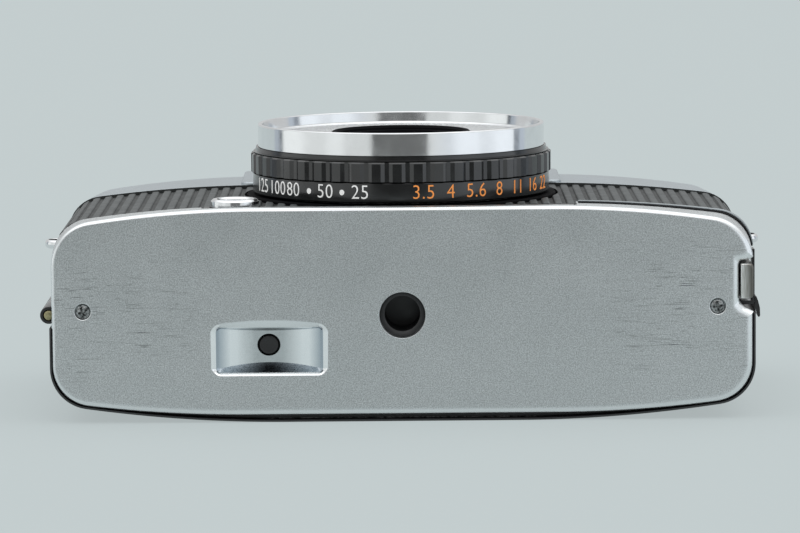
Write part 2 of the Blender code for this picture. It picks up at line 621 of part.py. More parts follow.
def make_lens():
    axis = (LENS_X, LENS_Y)
    plate = [(15.0, 30.9), (24.3, 30.9), (24.3, 32.6), (15.0, 32.6)]
    name_piece(turned(plate, axis, 48), "lens_mount_plate", "black_paint")
    barrel = [(19.6, 32.65), (21.5, 32.65), (21.5, 39.15), (19.6, 39.15)]
    name_piece(turned(barrel, axis, 48), "lens_barrel", "black_anodised")

    scale = [(21.8, 32.9), (23.1, 32.9), (23.3, 33.1), (23.3, 35.95), (21.8, 35.95)]
    name_piece(turned(scale, axis, 80), "scale_ring", "black_anodised", (LENS_X, LENS_Y, 34.4))
    ribs = knurl_outline(axis, GRIP_RADIUS, 0.35, GRIP_RIBS, FLAT_RIB)
    grip = tube(ribs, matching_circle(ribs, axis, 21.8), 36.05, 39.15, upright=True)
    name_piece(grip, "grip_ring", "black_anodised", (LENS_X, LENS_Y, 37.6))

    bevel = [(11.2, 39.3), (23.1, 39.3), (22.7, 40.2), (11.2, 40.2)]
    name_piece(turned(bevel, axis, 72), "bevel_ring", "black_anodised")
    rim = BEZEL_RADIUS
    bezel = [(20.7, 40.25), (rim, 40.25), (rim, 43.2), (rim - 0.15, 43.5), (rim - 0.4, RIM_Z),
             (rim - 1.0, RIM_Z), (rim - 1.3, 42.4), (20.7, 41.8)]
    name_piece(turned(bezel, axis, 80), "front_bezel", "chrome")
    cell = [(11.3, 40.3), (20.4, 40.3), (20.4, 41.2), (11.3, 41.2)]
    name_piece(turned(cell, axis, 40), "meter_cell", "cell_amber")
    window = [(11.2, 41.3), (20.4, 41.3), (20.4, 41.8), (18.0, 42.1), (13.0, 42.1), (11.2, 41.8)]
    name_piece(turned(window, axis, 48), "meter_window", "clear_glass")
    cone = [(7.2, 37.0), (10.9, 37.0), (10.9, 42.1), (10.4, 42.3), (10.0, 42.1), (7.2, 39.4)]
    name_piece(turned(cone, axis, 40), "lens_cone", "black_anodised")

    front = [(0.0, 37.2), (6.9, 37.2), (6.9, 38.0), (5.2, 38.8), (2.8, 39.4), (0.0, 39.6)]
    name_piece(turned(front, axis, 32), "front_lens", "coated_glass")
    middle = [(0.0, 33.0), (4.6, 33.0), (4.6, 34.3), (0.0, 34.3)]
    name_piece(turned(middle, axis, 28), "middle_lens", "coated_glass")
    rear = [(0.0, 27.4), (5.0, 28.0), (5.9, 28.6), (5.9, 30.4), (0.0, 30.4)]
    name_piece(turned(rear, axis, 28), "rear_lens", "coated_glass")
    case = [(4.9, 32.7), (19.3, 32.7), (19.3, 34.6), (4.9, 34.6)]
    name_piece(turned(case, axis, 40), "shutter_case", "black_anodised")

    # Two leaves side by side close the opening; each swings away round its own post.
    for name, sign, z in (("shutter_blade_a", 1.0, 34.85), ("shutter_blade_b", -1.0, 35.4)):
        post = (LENS_X, LENS_Y + 12.0 * sign)
        wide = [(LENS_X + 5.2 * math.cos(t), LENS_Y - 5.2 * sign * math.sin(t))
                for t in [math.pi * i / 14.0 for i in range(15)]]
        narrow = [(post[0] - 2.0 * math.cos(t), post[1] + 2.0 * sign * math.sin(t))
                  for t in [math.pi * i / 8.0 for i in range(9)]]
        name_piece(along_z(wide + narrow, z, z + 0.4), name, "steel", (post[0], post[1], z))


def make_film_drive():
    spool = [(0.0, -28.6), (8.5, -28.6), (8.5, -27.4), (4.6, -27.4), (4.6, 14.0), (8.5, 14.0), (8.5, 15.2)]
    spool += [(2.1, 15.2), (2.1, 24.8), (0.0, 24.8)]
    spool = turned(spool, (SPOOL_X, SPOOL_Z), 28, upright=False)
    unite(spool, along_y(gear_outline(SPOOL_X, SPOOL_Z, 18), 18.6, 20.0))
    name_piece(spool, "take_up_spool", "black_plastic", (SPOOL_X, 18.0, SPOOL_Z))

    teeth = knurl_outline((SPOOL_X, SPOOL_Z), 11.3, 0.5, 44, SHARP_RIB)
    wheel = tube(teeth, matching_circle(teeth, (SPOOL_X, SPOOL_Z), 2.4), 20.4, 24.4, upright=False)
    name_piece(wheel, "thumb_wheel", "black_plastic", (SPOOL_X, 22.4, SPOOL_Z))

    idler = along_y(gear_outline(IDLER_X, SPOOL_Z, 12, math.radians(15.0)), 18.6, 20.0)
    unite(idler, post_y(IDLER_X, SPOOL_Z, 1.4, 17.9, 20.2, 20))
    name_piece(idler, "idler_gear", "brass", (IDLER_X, 19.3, SPOOL_Z))

    drum = [(0.0, -25.2), (2.0, -25.2), (2.0, -23.2), (5.6, -23.2), (5.6, 13.2)]
    drum += [(2.0, 13.2), (2.0, 20.4), (0.0, 20.4)]
    drum = turned(drum, (SPROCKET_X, SPOOL_Z), 24, upright=False)
    for row_y in (LENS_Y - 14.1, LENS_Y + 14.1):
        points = []
        for k in range(8):
            middle = 2.0 * math.pi * k / 8.0
            for radius, across in ((5.3, -0.8), (6.7, -0.45), (6.7, 0.45), (5.3, 0.8)):
                angle = middle + across / radius
                points.append((SPROCKET_X + radius * math.cos(angle), SPOOL_Z + radius * math.sin(angle)))
        unite(drum, along_y(points, row_y - 0.6, row_y + 0.6))
    unite(drum, along_y(gear_outline(SPROCKET_X, SPOOL_Z, 18), 18.6, 20.0))
    name_piece(drum, "film_sprocket", "steel", (SPROCKET_X, 18.0, SPOOL_Z))

    dial = [(0.0, 25.2), (1.6, 25.2), (1.6, 26.2), (7.2, 26.2), (7.2, 27.0), (0.0, 27.0)]
    dial = turned(dial, (SPOOL_X, SPOOL_Z), 32, upright=False)
    name_piece(dial, "counter_dial", "white_plastic", (SPOOL_X, 26.6, SPOOL_Z))

    axis = (CARTRIDGE_X, CARTRIDGE_Z)
    knob = [(0.0, 13.2), (2.2, 13.2), (2.2, 29.8), (7.8, 29.8), (8.2, 30.1)]
    knob += [(8.2, 31.5), (7.9, 31.8), (0.0, 31.8)]
    knob = turned(knob, axis, 36, upright=False)
    x, z = axis
    unite(knob, box(x - 2.35, x + 2.35, 10.2, 13.6, z - 0.6, z + 0.6))
    for side in (-1.0, 1.0):
        ear = sorted((z + side * 2.35, z + side * 3.2))
        unite(knob, box(x - 6.9, x - 5.1, 31.4, 32.9, ear[0], ear[1]))
    name_piece(knob, "rewind_knob", "chrome", (x, 30.8, z))
    collar = [(2.5, 18.5), (4.0, 18.5), (4.0, 20.0), (2.5, 20.0)]
    name_piece(turned(collar, axis, 20, upright=False), "rewind_collar", "brass", (x, 19.2, z))
    crank = box(x - 6.3, x + 6.4, 32.0, 32.75, z - 2.0, z + 2.0)
    unite(crank, post_y(x + 5.0, z, 1.9, 31.95, 33.0, 24))
    name_piece(crank, "rewind_crank", "chrome", (x - 6.0, 32.4, z))


def knuckle(y0, y1):
    axis = (HINGE_X, HINGE_Z)
    return tube(circle(axis, HINGE_RADIUS, 16), circle(axis, 0.9, 16), y0, y1, upright=False)


def make_back():
    low_y = -31.3
    high_y = 18.3
    shell = along_y(door_section(0.5, 1.6, 14.6, 16.2), low_y, high_y)
    name_piece(shell, "back_door", "black_paint")
    skin = along_y(door_section(0.0, 0.45, 14.6, 16.2), low_y, high_y)
    name_piece(skin, "back_leather", "black_leather")

    leaf = box(-52.0, -51.5, -30.9, 6.3, 9.8, 15.0)
    for y0, y1 in ((-31.2, -20.0), (-5.0, 6.5)):
        unite(leaf, box(-52.85, -51.5, y0 + 0.4, y1 - 0.4, 14.8, 16.9))
        unite(leaf, knuckle(y0, y1))
    name_piece(leaf, "door_hinge_leaf", "black_paint", (HINGE_X, 0.0, HINGE_Z))
    leaf = box(-51.85, -51.3, -19.3, -5.7, 17.4, 25.0)
    unite(leaf, box(-52.85, -51.3, -19.3, -5.7, 16.7, 17.9))
    unite(leaf, knuckle(-19.7, -5.3))
    name_piece(leaf, "body_hinge_leaf", "black_paint", (HINGE_X, 0.0, HINGE_Z))
    name_piece(post_y(HINGE_X, HINGE_Z, 0.775, -31.4, 6.6, 20), "hinge_pin", "brass", (HINGE_X, 0.0, HINGE_Z))

    catch = box(51.6, 52.05, -14.0, -6.0, 9.8, 18.0)
    unite(catch, box(51.6, 52.8, -14.0, -6.0, 16.9, 18.0))
    name_piece(catch, "door_catch", "steel")
    tab = [(53.77, 13.5), (53.92, 13.5), (53.92, 16.3), (54.0, 16.45), (54.2, 15.4), (54.45, 15.1), (54.65, 15.4)]
    tab += [(54.6, 16.6), (54.35, 17.6), (54.05, 18.4), (53.87, 18.3), (53.9, 17.3), (53.77, 16.9)]
    name_piece(along_y(tab, -29.5, -17.0), "door_pull_tab", "black_paint")

    plate = box(-13.0, 17.0, -21.5, 11.5, 4.3, 5.6)
    name_piece(plate, "pressure_plate", "black_anodised", (2.0, LENS_Y, 4.3))
    arch = [(-8.0, 1.75), (-7.0, 1.75), (-2.0, 3.7), (6.0, 3.7), (11.0, 1.75), (12.0, 1.75),
            (12.0, 2.15), (11.2, 2.15), (6.2, 4.1), (-2.2, 4.1), (-7.2, 2.15), (-8.0, 2.15)]
    name_piece(along_y(arch, LENS_Y - 4.0, LENS_Y + 4.0), "pressure_spring", "steel", (2.0, LENS_Y, 1.7))


def build_camera():
    clear_scene()
    make_base()
    make_chassis()
    make_covering()
    make_top()
    make_lens()
    make_film_drive()
    make_back()


build_camera()
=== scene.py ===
import math

import bmesh
import bpy
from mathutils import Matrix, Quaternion, Vector


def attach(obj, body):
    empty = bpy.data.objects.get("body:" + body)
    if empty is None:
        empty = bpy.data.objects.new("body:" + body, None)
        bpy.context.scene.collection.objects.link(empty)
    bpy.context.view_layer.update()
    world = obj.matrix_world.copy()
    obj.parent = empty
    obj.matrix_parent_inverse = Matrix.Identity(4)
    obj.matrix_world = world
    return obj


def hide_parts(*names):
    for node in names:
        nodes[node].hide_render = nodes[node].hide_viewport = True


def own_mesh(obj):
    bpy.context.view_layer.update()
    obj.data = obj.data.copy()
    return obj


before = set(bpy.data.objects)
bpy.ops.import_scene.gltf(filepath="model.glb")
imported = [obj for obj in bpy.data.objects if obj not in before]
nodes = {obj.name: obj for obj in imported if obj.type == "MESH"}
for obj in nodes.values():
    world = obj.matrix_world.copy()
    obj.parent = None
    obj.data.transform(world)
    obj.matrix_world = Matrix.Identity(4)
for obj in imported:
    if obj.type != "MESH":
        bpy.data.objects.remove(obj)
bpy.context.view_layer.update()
mm = 0.001
quarter = 0.5 * math.pi
fullTurn = 2.0 * math.pi

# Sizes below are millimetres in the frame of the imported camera: X along the base plate,
# Y from the base plate to the top cover, Z out of the lens.
bodyShape = {"half": 53.4, "front": 32.8, "rear": 1.2, "arc": 170.0, "swing": 8.5, "corner": 7.0}
plateShape = {**bodyShape, "rear": 1.0, "under": {"arc": 190.0, "swing": 7.3, "corner": 6.3}}  # fuller below
seamShape = {"half": 53.45, "front": 32.8, "rear": 1.2, "arc": 215.0, "swing": 6.9, "corner": 5.6}
leatherShape = {"half": 53.15, "front": 32.45, "rear": 2.0, "arc": 220.0, "swing": 6.8, "corner": 5.3}
footShape = {"half": 53.35, "front": 32.75, "rear": 2.2, "arc": 210.0, "swing": 7.2, "corner": 5.6}
coverShape = {"half": 53.1, "front": 32.3, "rear": 2.4, "arc": 170.0, "swing": 8.5, "corner": 6.8}
doorShape = {"half": 53.75, "front": 33.0, "rear": 0.0, "arc": 212.0, "swing": 8.3, "corner": 6.3}
baseY = -33.0
farOut = 60.0  # past every side of the camera, for cutters

# middles of round and boxed pieces: (x, y) in front, (x, z) on base and top
lensAxis, socketSpot, finderSpot = (0.0, -5.0), (-25.5, -26.0), (5.0, 24.1)
tripodSpot, buttonSpot = (0.0, 16.3), (-20.4, 11.63)
wheelSpot, releaseSpot, rewindSpot = (-38.4, 11.9), (-31.5, 25.0), (37.5, 15.5)


def pick(spec, *keys):
    # several values of a piece's dictionary at once
    return [spec[key] for key in keys]


# Mesh makers

def levelY(outline, y):
    return [(x, y, z) for x, z in outline]


def levelZ(outline, z):
    return [(x, y, z) for x, y in outline]


def joinRows(bm, low, high):
    for i in range(len(low)):
        j = (i + 1) % len(low)
        bm.faces.new((low[i], low[j], high[j], high[i]))


def loft(rings, capEnd=True, closed=False):
    # skin through rings of points, capped at its ends or closed from the last ring to the first
    bm = bmesh.new()
    rows = [[bm.verts.new(Vector(point) * mm) for point in ring] for ring in rings]
    for low, high in zip(rows, rows[1:] + (rows[:1] if closed else [])):
        joinRows(bm, low, high)
    if not closed:
        bm.faces.new(rows[0][::-1])
        if capEnd:
            bm.faces.new(rows[-1])
    return bm


def alongY(outline, stations):
    return loft([levelY(outline, y) for y in stations])


def alongZ(outline, stations):
    return loft([levelZ(outline, z) for z in stations])


def boxMesh(x0, x1, y0, y1, z0, z1):
    return alongZ([(x0, y0), (x1, y0), (x1, y1), (x0, y1)], (z0, z1))


def circle(centre, radius, steps):
    turns = [fullTurn * i / steps for i in range(steps)]
    return [(centre[0] + radius * math.cos(t), centre[1] + radius * math.sin(t)) for t in turns]


def turned(profile, centre, steps, upright=False):
    # a profile of (radius, height) that meets the axis at both ends is a solid, any other is a ring
    bm = bmesh.new()
    rows = []
    for radius, height in profile:
        spots = [centre] if radius == 0.0 else circle(centre, radius, steps)
        ring = levelZ(spots, height) if upright else levelY(spots, height)
        rows.append([bm.verts.new(Vector(point) * mm) for point in ring])
    pairs = list(zip(rows, rows[1:]))
    if profile[0][0] > 0.0:
        pairs.append((rows[-1], rows[0]))
    for first, second in pairs:
        for i in range(steps):
            j = (i + 1) % steps
            corners = [first[i % len(first)], first[j % len(first)]]
            corners += [second[j % len(second)], second[i % len(second)]]
            bm.faces.new(list(dict.fromkeys(corners)))
    return bm


def rounded(profile, radii, steps=5):
    # rounds the corners of a closed profile; a radius of 0 keeps a corner sharp
    points = []
    for i, (corner, radius) in enumerate(zip(profile, radii)):
        here = Vector(corner)
        if radius == 0.0:
            points.append((here.x, here.y))
            continue
        before = Vector(profile[i - 1]) - here
        after = Vector(profile[(i + 1) % len(profile)]) - here
        half = 0.5 * before.angle(after)
        reach = min(radius / math.tan(half), 0.49 * before.length, 0.49 * after.length)
        start = here + before.normalized() * reach
        end = here + after.normalized() * reach
        for t in [k / steps for k in range(steps + 1)]:
            spot = start * (1 - t) ** 2 + here * (2 * t * (1 - t)) + end * t ** 2
            points.append((spot.x, spot.y))
    return points


def quarterCurve(shape, inset, arcSteps=16, cornerSteps=14):
    # from the flat of a long face round to the end face: (distance from the middle, depth)
    swing = math.radians(shape["swing"])
    arc, corner = shape["arc"], shape["corner"]
    cornerX = shape["half"] - corner
    flat = cornerX - (arc - corner) * math.sin(swing)
    cornerDepth = arc - (arc - corner) * math.cos(swing)
    points = []
    for angle in [swing * i / arcSteps for i in range(arcSteps + 1)]:
        points.append((flat + (arc - inset) * math.sin(angle), arc - (arc - inset) * math.cos(angle)))
    for angle in [swing + (quarter - swing) * i / cornerSteps for i in range(1, cornerSteps + 1)]:
        reach = corner - inset
        points.append((cornerX + reach * math.sin(angle), cornerDepth - reach * math.cos(angle)))
    return points


def bodyOutline(shape, inset):
    below = quarterCurve({**shape, **shape.get("under", {})}, inset)
    right = [(x, shape["front"] - depth) for x, depth in quarterCurve(shape, inset)]
    right += [(x, shape["rear"] + depth) for x, depth in below[::-1]]
    return right + [(-x, z) for x, z in right[::-1]]


def bodyLoft(stations):
    # through outlines of the body, each with its shape, height and inset
    return loft([levelY(bodyOutline(shape, inset), y) for shape, y, inset in stations])


def roundEdge(y0, y1, inset, steps=8):
    # stations of a rolled edge that starts at y0 with the given inset and is full at y1
    turns = [quarter * i / steps for i in range(steps + 1)]
    return [(y0 + (y1 - y0) * (1.0 - math.cos(t)), inset * (1.0 - math.sin(t))) for t in turns]


def roundedBox(centre, halfA, halfB, corner, steps=8, straight=16):
    # a ring of points at the same places across above and below
    turns = [quarter * i / steps for i in range(steps + 1)]
    left = [(corner - halfA - corner * math.cos(t), halfB - corner + corner * math.sin(t)) for t in turns]
    middle = [(2.0 * (halfA - corner) * i / straight + corner - halfA, halfB) for i in range(1, straight)]
    upper = left + middle + [(-a, b) for a, b in left[::-1]]
    return [(centre[0] + a, centre[1] + b) for a, b in upper + [(a, -b) for a, b in upper[-2:0:-1]]]


def ribbedRing(radius, depth, count, shares, phase=0.0):
    # (angle, reach) round a ribbed ring, shares give the places and sinks along one rib
    points = []
    for k in range(count):
        points += [(fullTurn * (k + share) / count + phase, radius - depth * sink) for share, sink in shares]
    return points


def polarRing(points, centre, grow=0.0, limit=math.inf):
    ring = []
    for angle, reach in points:
        far = min(reach + grow, limit)
        ring.append((centre[0] + far * math.cos(angle), centre[1] + far * math.sin(angle)))
    return ring


def lensBore(low=25.0):
    return alongZ(circle(lensAxis, 24.7, 160), (low, 40.0))


def socketBore():
    return alongZ(circle(socketSpot, 3.95, 64), (25.0, 40.0))


def solid(bm, name="solid"):
    bmesh.ops.recalc_face_normals(bm, faces=bm.faces)
    mesh = bpy.data.meshes.new(name)
    bm.to_mesh(mesh)
    bm.free()
    item = bpy.data.objects.new(name, mesh)
    bpy.context.scene.collection.objects.link(item)
    return item


def finalMesh(item):
    bpy.context.view_layer.update()
    graph = bpy.context.evaluated_depsgraph_get()
    return bpy.data.meshes.new_from_object(item.evaluated_get(graph))


def settle(item):
    # bakes the modifiers of a piece into its mesh
    result = finalMesh(item)
    item.modifiers.clear()
    old = item.data
    item.data = result
    bpy.data.meshes.remove(old)


def combine(item, tools, operation):
    for bm in tools:
        tool = solid(bm)
        step = item.modifiers.new("combine", "BOOLEAN")
        step.operation = operation
        step.solver = "EXACT"
        step.object = tool
        settle(item)
        bpy.data.objects.remove(tool)


def cut(item, *tools):
    combine(item, tools, "DIFFERENCE")


def unite(item, *tools):
    combine(item, tools, "UNION")


def bevelled(item, width, segments=3):
    step = item.modifiers.new("bevel", "BEVEL")
    step.width = width * mm
    step.segments = segments
    step.limit_method = "ANGLE"
    step.angle_limit = math.radians(50.0)
    step.use_clamp_overlap = True
    settle(item)


def dress(item, name, look, replaced=None, crease=40.0, body="camera_body", flats=False):
    # names a piece, gives it its finish and smooth shading, and fixes it to a body of the frame
    item.name = name
    item.data.name = name
    item.data.materials.clear()
    item.data.materials.append(looks[look])
    for face in item.data.polygons:
        face.material_index = 0
        face.use_smooth = True
    item.data.set_sharp_from_angle(angle=math.radians(crease))
    if flats:
        step = item.modifiers.new("flats", "WEIGHTED_NORMAL")
        step.keep_sharp = True
        step.weight = 60
    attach(item, body)
    if replaced:
        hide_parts(replaced)
    return item


def dressTurned(profile, centre, steps, *words, upright=False, **more):
    return dress(solid(turned(profile, centre, steps, upright)), *words, **more)


# Finishes

def newLook(name, colour, metal, rough):
    look = bpy.data.materials.new(name)
    look.use_nodes = True
    shader = look.node_tree.nodes["Principled BSDF"]
    shader.inputs["Base Color"].default_value = (*colour, 1.0)
    shader.inputs["Metallic"].default_value = metal
    shader.inputs["Roughness"].default_value = rough
    look.diffuse_color = (*colour, 1.0)
    return look, look.node_tree, shader


def node(tree, kind, **values):
    made = tree.nodes.new(kind)
    for key, value in values.items():
        if key in made.inputs:
            made.inputs[key].default_value = value
        else:
            setattr(made, key, value)
    return made


def objectPlace(tree, stretch=(1.0, 1.0, 1.0), shift=(0.0, 0.0, 0.0)):
    place = node(tree, "ShaderNodeTexCoord")
    mapped = node(tree, "ShaderNodeMapping", Scale=stretch, Location=shift)
    tree.links.new(place.outputs["Object"], mapped.inputs["Vector"])
    return mapped.outputs["Vector"]


def axes(tree, shift=(0.0, 0.0, 0.0)):
    split = node(tree, "ShaderNodeSeparateXYZ")
    tree.links.new(objectPlace(tree, shift=shift), split.inputs["Vector"])
    return split.outputs


def noise(tree, size, detail=2.0, stretch=(1.0, 1.0, 1.0), rough=0.55, warp=0.0):
    # size is that of the largest spots, in millimetres
    scale = 1.0 / (size * mm)
    made = node(tree, "ShaderNodeTexNoise", Scale=scale, Detail=detail, Roughness=rough, Distortion=warp)
    tree.links.new(objectPlace(tree, stretch), made.inputs["Vector"])
    return made.outputs["Fac"]


def spread(tree, value, low, high, fromLow=0.3, fromHigh=0.7):
    made = node(tree, "ShaderNodeMapRange")
    for key, limit in (("From Min", fromLow), ("From Max", fromHigh), ("To Min", low), ("To Max", high)):
        made.inputs[key].default_value = limit
    tree.links.new(value, made.inputs["Value"])
    return made.outputs["Result"]


def fade(tree, value, span, low=0.0, high=1.0):
    # a change from low to high over a span in millimetres
    return spread(tree, value, low, high, span[0] * mm, span[1] * mm)


def maths(tree, operation, *values):
    made = node(tree, "ShaderNodeMath", operation=operation)
    for value, socket in zip(values, made.inputs):
        tree.links.new(value, socket)
    return made.outputs["Value"]


def times(tree, first, second):
    return maths(tree, "MULTIPLY", first, second)


def mixColour(tree, share, first, second):
    made = node(tree, "ShaderNodeMix", data_type="RGBA")
    tree.links.new(share, made.inputs["Factor"])
    colours = [s for s in made.inputs if s.type == "RGBA"]
    for value, socket in zip((first, second), colours):
        if hasattr(value, "is_linked"):
            tree.links.new(value, socket)
        else:
            socket.default_value = (*value, 1.0)
    return [s for s in made.outputs if s.type == "RGBA"][0]


def mixValue(tree, share, first, second):
    made = node(tree, "ShaderNodeMix", data_type="FLOAT")
    tree.links.new(share, made.inputs[0])
    tree.links.new(first, made.inputs[2])
    made.inputs[3].default_value = second
    return made.outputs[0]


def bump(tree, shader, height, depth, strength):
    # depth is the real height of the relief, in millimetres
    made = node(tree, "ShaderNodeBump", Strength=strength, Distance=depth * mm)
    tree.links.new(height, made.inputs["Height"])
    tree.links.new(made.outputs["Normal"], shader.inputs["Normal"])


def worn(tree, clean, amount):
    # colour that turns to bare metal on sharp edges, broken up by noise
    geometry = node(tree, "ShaderNodeNewGeometry")
    edge = spread(tree, geometry.outputs["Pointiness"], 0.0, 1.0, 0.53, 0.60)
    patch = spread(tree, noise(tree, 0.6, 3.0), 0.0, amount, 0.42, 0.66)
    return mixColour(tree, times(tree, edge, patch), clean, (0.5, 0.5, 0.5))


def grainLook(name, colour, rough, grain, metal=0.0, mottle=0.2, vary=0.06, relief=0.02, shine=0.5,
              stretch=(1.0, 1.0, 1.0), fadeTo=None, wear=0.0, glow=0.0):
    # a plain finish with colour mottling, roughness that varies and fine relief, sizes in millimetres
    look, tree, shader = newLook(name, colour, metal, rough)
    low = [c * (1.0 - mottle) for c in colour]
    high = [min(1.0, c * (1.0 + mottle)) for c in colour]
    fine = noise(tree, grain, 3.0, stretch)
    tint = mixColour(tree, spread(tree, fine, 0.0, 1.0), low, high)
    if fadeTo:  # a second colour that comes in along one axis
        axis, span, other = fadeTo
        tint = mixColour(tree, fade(tree, axes(tree)[axis], span), tint, other)
    if wear:
        tint = worn(tree, tint, wear)
    tree.links.new(tint, shader.inputs["Base Color"])
    wide = noise(tree, grain * 22.0)
    tree.links.new(spread(tree, wide, rough - vary, rough + vary), shader.inputs["Roughness"])
    bump(tree, shader, fine, relief, 0.5)
    if glow:
        shader.inputs["Emission Color"].default_value = (*colour, 1.0)
        shader.inputs["Emission Strength"].default_value = glow
    shader.inputs["Specular IOR Level"].default_value = shine
    return look


def glassLook(name, colour, through, rough=0.03):
    look, tree, shader = newLook(name, colour, 0.0, rough)
    shader.inputs["Transmission Weight"].default_value = through
    shader.inputs["IOR"].default_value = 1.5
    shader.inputs["Coat Weight"].default_value = 0.4
    dust = spread(tree, noise(tree, 1.2, 4.0), rough, rough + 0.05, 0.45, 0.7)
    tree.links.new(dust, shader.inputs["Roughness"])
    return look


# the edge colour of the base is partly burnished metal and partly a painted highlight
plateLook = {"name": "bead_silver_base", "colour": (0.765, 0.792, 0.80), "dark": (0.445, 0.460, 0.465),
             "rough": 0.40, "grain": 0.17, "relief": 0.014, "edge": (0.82, 0.845, 0.855), "edgeRough": 0.27,
             "scuff": 0.95, "scuffColour": (0.13, 0.137, 0.14), "scuffEnds": (26.0, 44.0),
             "scuffLow": (4.0, 10.0), "scuffHigh": (23.0, 29.0), "roll": (-32.995, -32.92),
             "wall": (-32.5, -32.0), "face": (-32.99, -32.8)}
topLook = {"name": "bead_silver_top", "colour": (0.468, 0.512, 0.536), "dark": (0.402, 0.440, 0.461),
           "rough": 0.42, "grain": 0.20, "relief": 0.014}


def beadSilver(spec):
    # bead blasted silver; on the base everything below the flat face is lighter and smoother, partly
    # burnished metal and partly a painted highlight on the rolled edge, and fine dark scuffs run along its
    # length
    look, tree, shader = newLook(spec["name"], spec["colour"], 1.0, spec["rough"])
    fine = noise(tree, spec["grain"], 2.0, rough=0.6)
    colour = mixColour(tree, spread(tree, fine, 0.0, 1.0, 0.36, 0.64), spec["dark"], spec["colour"])
    rough = spread(tree, noise(tree, 9.0, 3.0), spec["rough"] - 0.04, spec["rough"] + 0.05)
    relief = fine
    if "edge" in spec:
        x, y, z = axes(tree)
        streak = noise(tree, 1.0, 3.0, stretch=(0.16, 1.0, 4.0), warp=1.6)
        streak = spread(tree, streak, 0.0, 1.0, 0.58, 0.66)
        patch = spread(tree, noise(tree, 7.0), 0.0, spec["scuff"], 0.40, 0.62)
        patch = times(tree, patch, fade(tree, maths(tree, "ABSOLUTE", x), spec["scuffEnds"]))
        height = times(tree, fade(tree, z, spec["scuffLow"]), fade(tree, z, spec["scuffHigh"], 1.0, 0.0))
        scuffs = times(tree, streak, times(tree, patch, height))
        colour = mixColour(tree, scuffs, colour, spec["scuffColour"])
        # lighter band below the flat face: burnished metal and a painted highlight
        burnishAndHighlight = times(tree, fade(tree, y, spec["roll"]), fade(tree, y, spec["wall"], 1.0, 0.0))
        colour = mixColour(tree, burnishAndHighlight, colour, spec["edge"])
        rough = mixValue(tree, burnishAndHighlight, rough, spec["edgeRough"])
        relief = times(tree, fine, fade(tree, y, spec["face"], 1.0, 0.15))
    tree.links.new(colour, shader.inputs["Base Color"])
    tree.links.new(rough, shader.inputs["Roughness"])
    bump(tree, shader, relief, spec["relief"], 0.6)
    return look


def scoopLook(name, colour, dark, rough, span, ends=None):
    # metal of the scoop, darker in its middle and, where ends are given, another colour towards both ends:
    # painted shade, painted reflection and painted highlight set by distance from the middle
    look, tree, shader = newLook(name, colour, 1.0, rough)
    away = maths(tree, "ABSOLUTE", axes(tree, (20.27 * mm, 0.0, 0.0))["X"])
    tint = mixColour(tree, fade(tree, away, span), dark, colour)
    if ends:
        tint = mixColour(tree, fade(tree, away, ends[0]), tint, ends[1])
    tree.links.new(tint, shader.inputs["Base Color"])
    tree.links.new(spread(tree, noise(tree, 0.6), rough - 0.05, rough + 0.05), shader.inputs["Roughness"])
    return look


def brushedChrome(name, colour, rough):
    # polished plating with hairlines round the lens axis and faint smears
    look, tree, shader = newLook(name, colour, 1.0, rough)
    smear = noise(tree, 2.4, 4.0)
    hair = noise(tree, 0.9, 2.0, stretch=(1.0, 1.0, 9.0))
    tree.links.new(spread(tree, smear, rough * 0.7, rough * 1.7), shader.inputs["Roughness"])
    tint = mixColour(tree, spread(tree, smear, 0.0, 1.0), [c * 0.93 for c in colour], colour)
    tree.links.new(tint, shader.inputs["Base Color"])
    bump(tree, shader, hair, 0.002, 0.25)
    return look


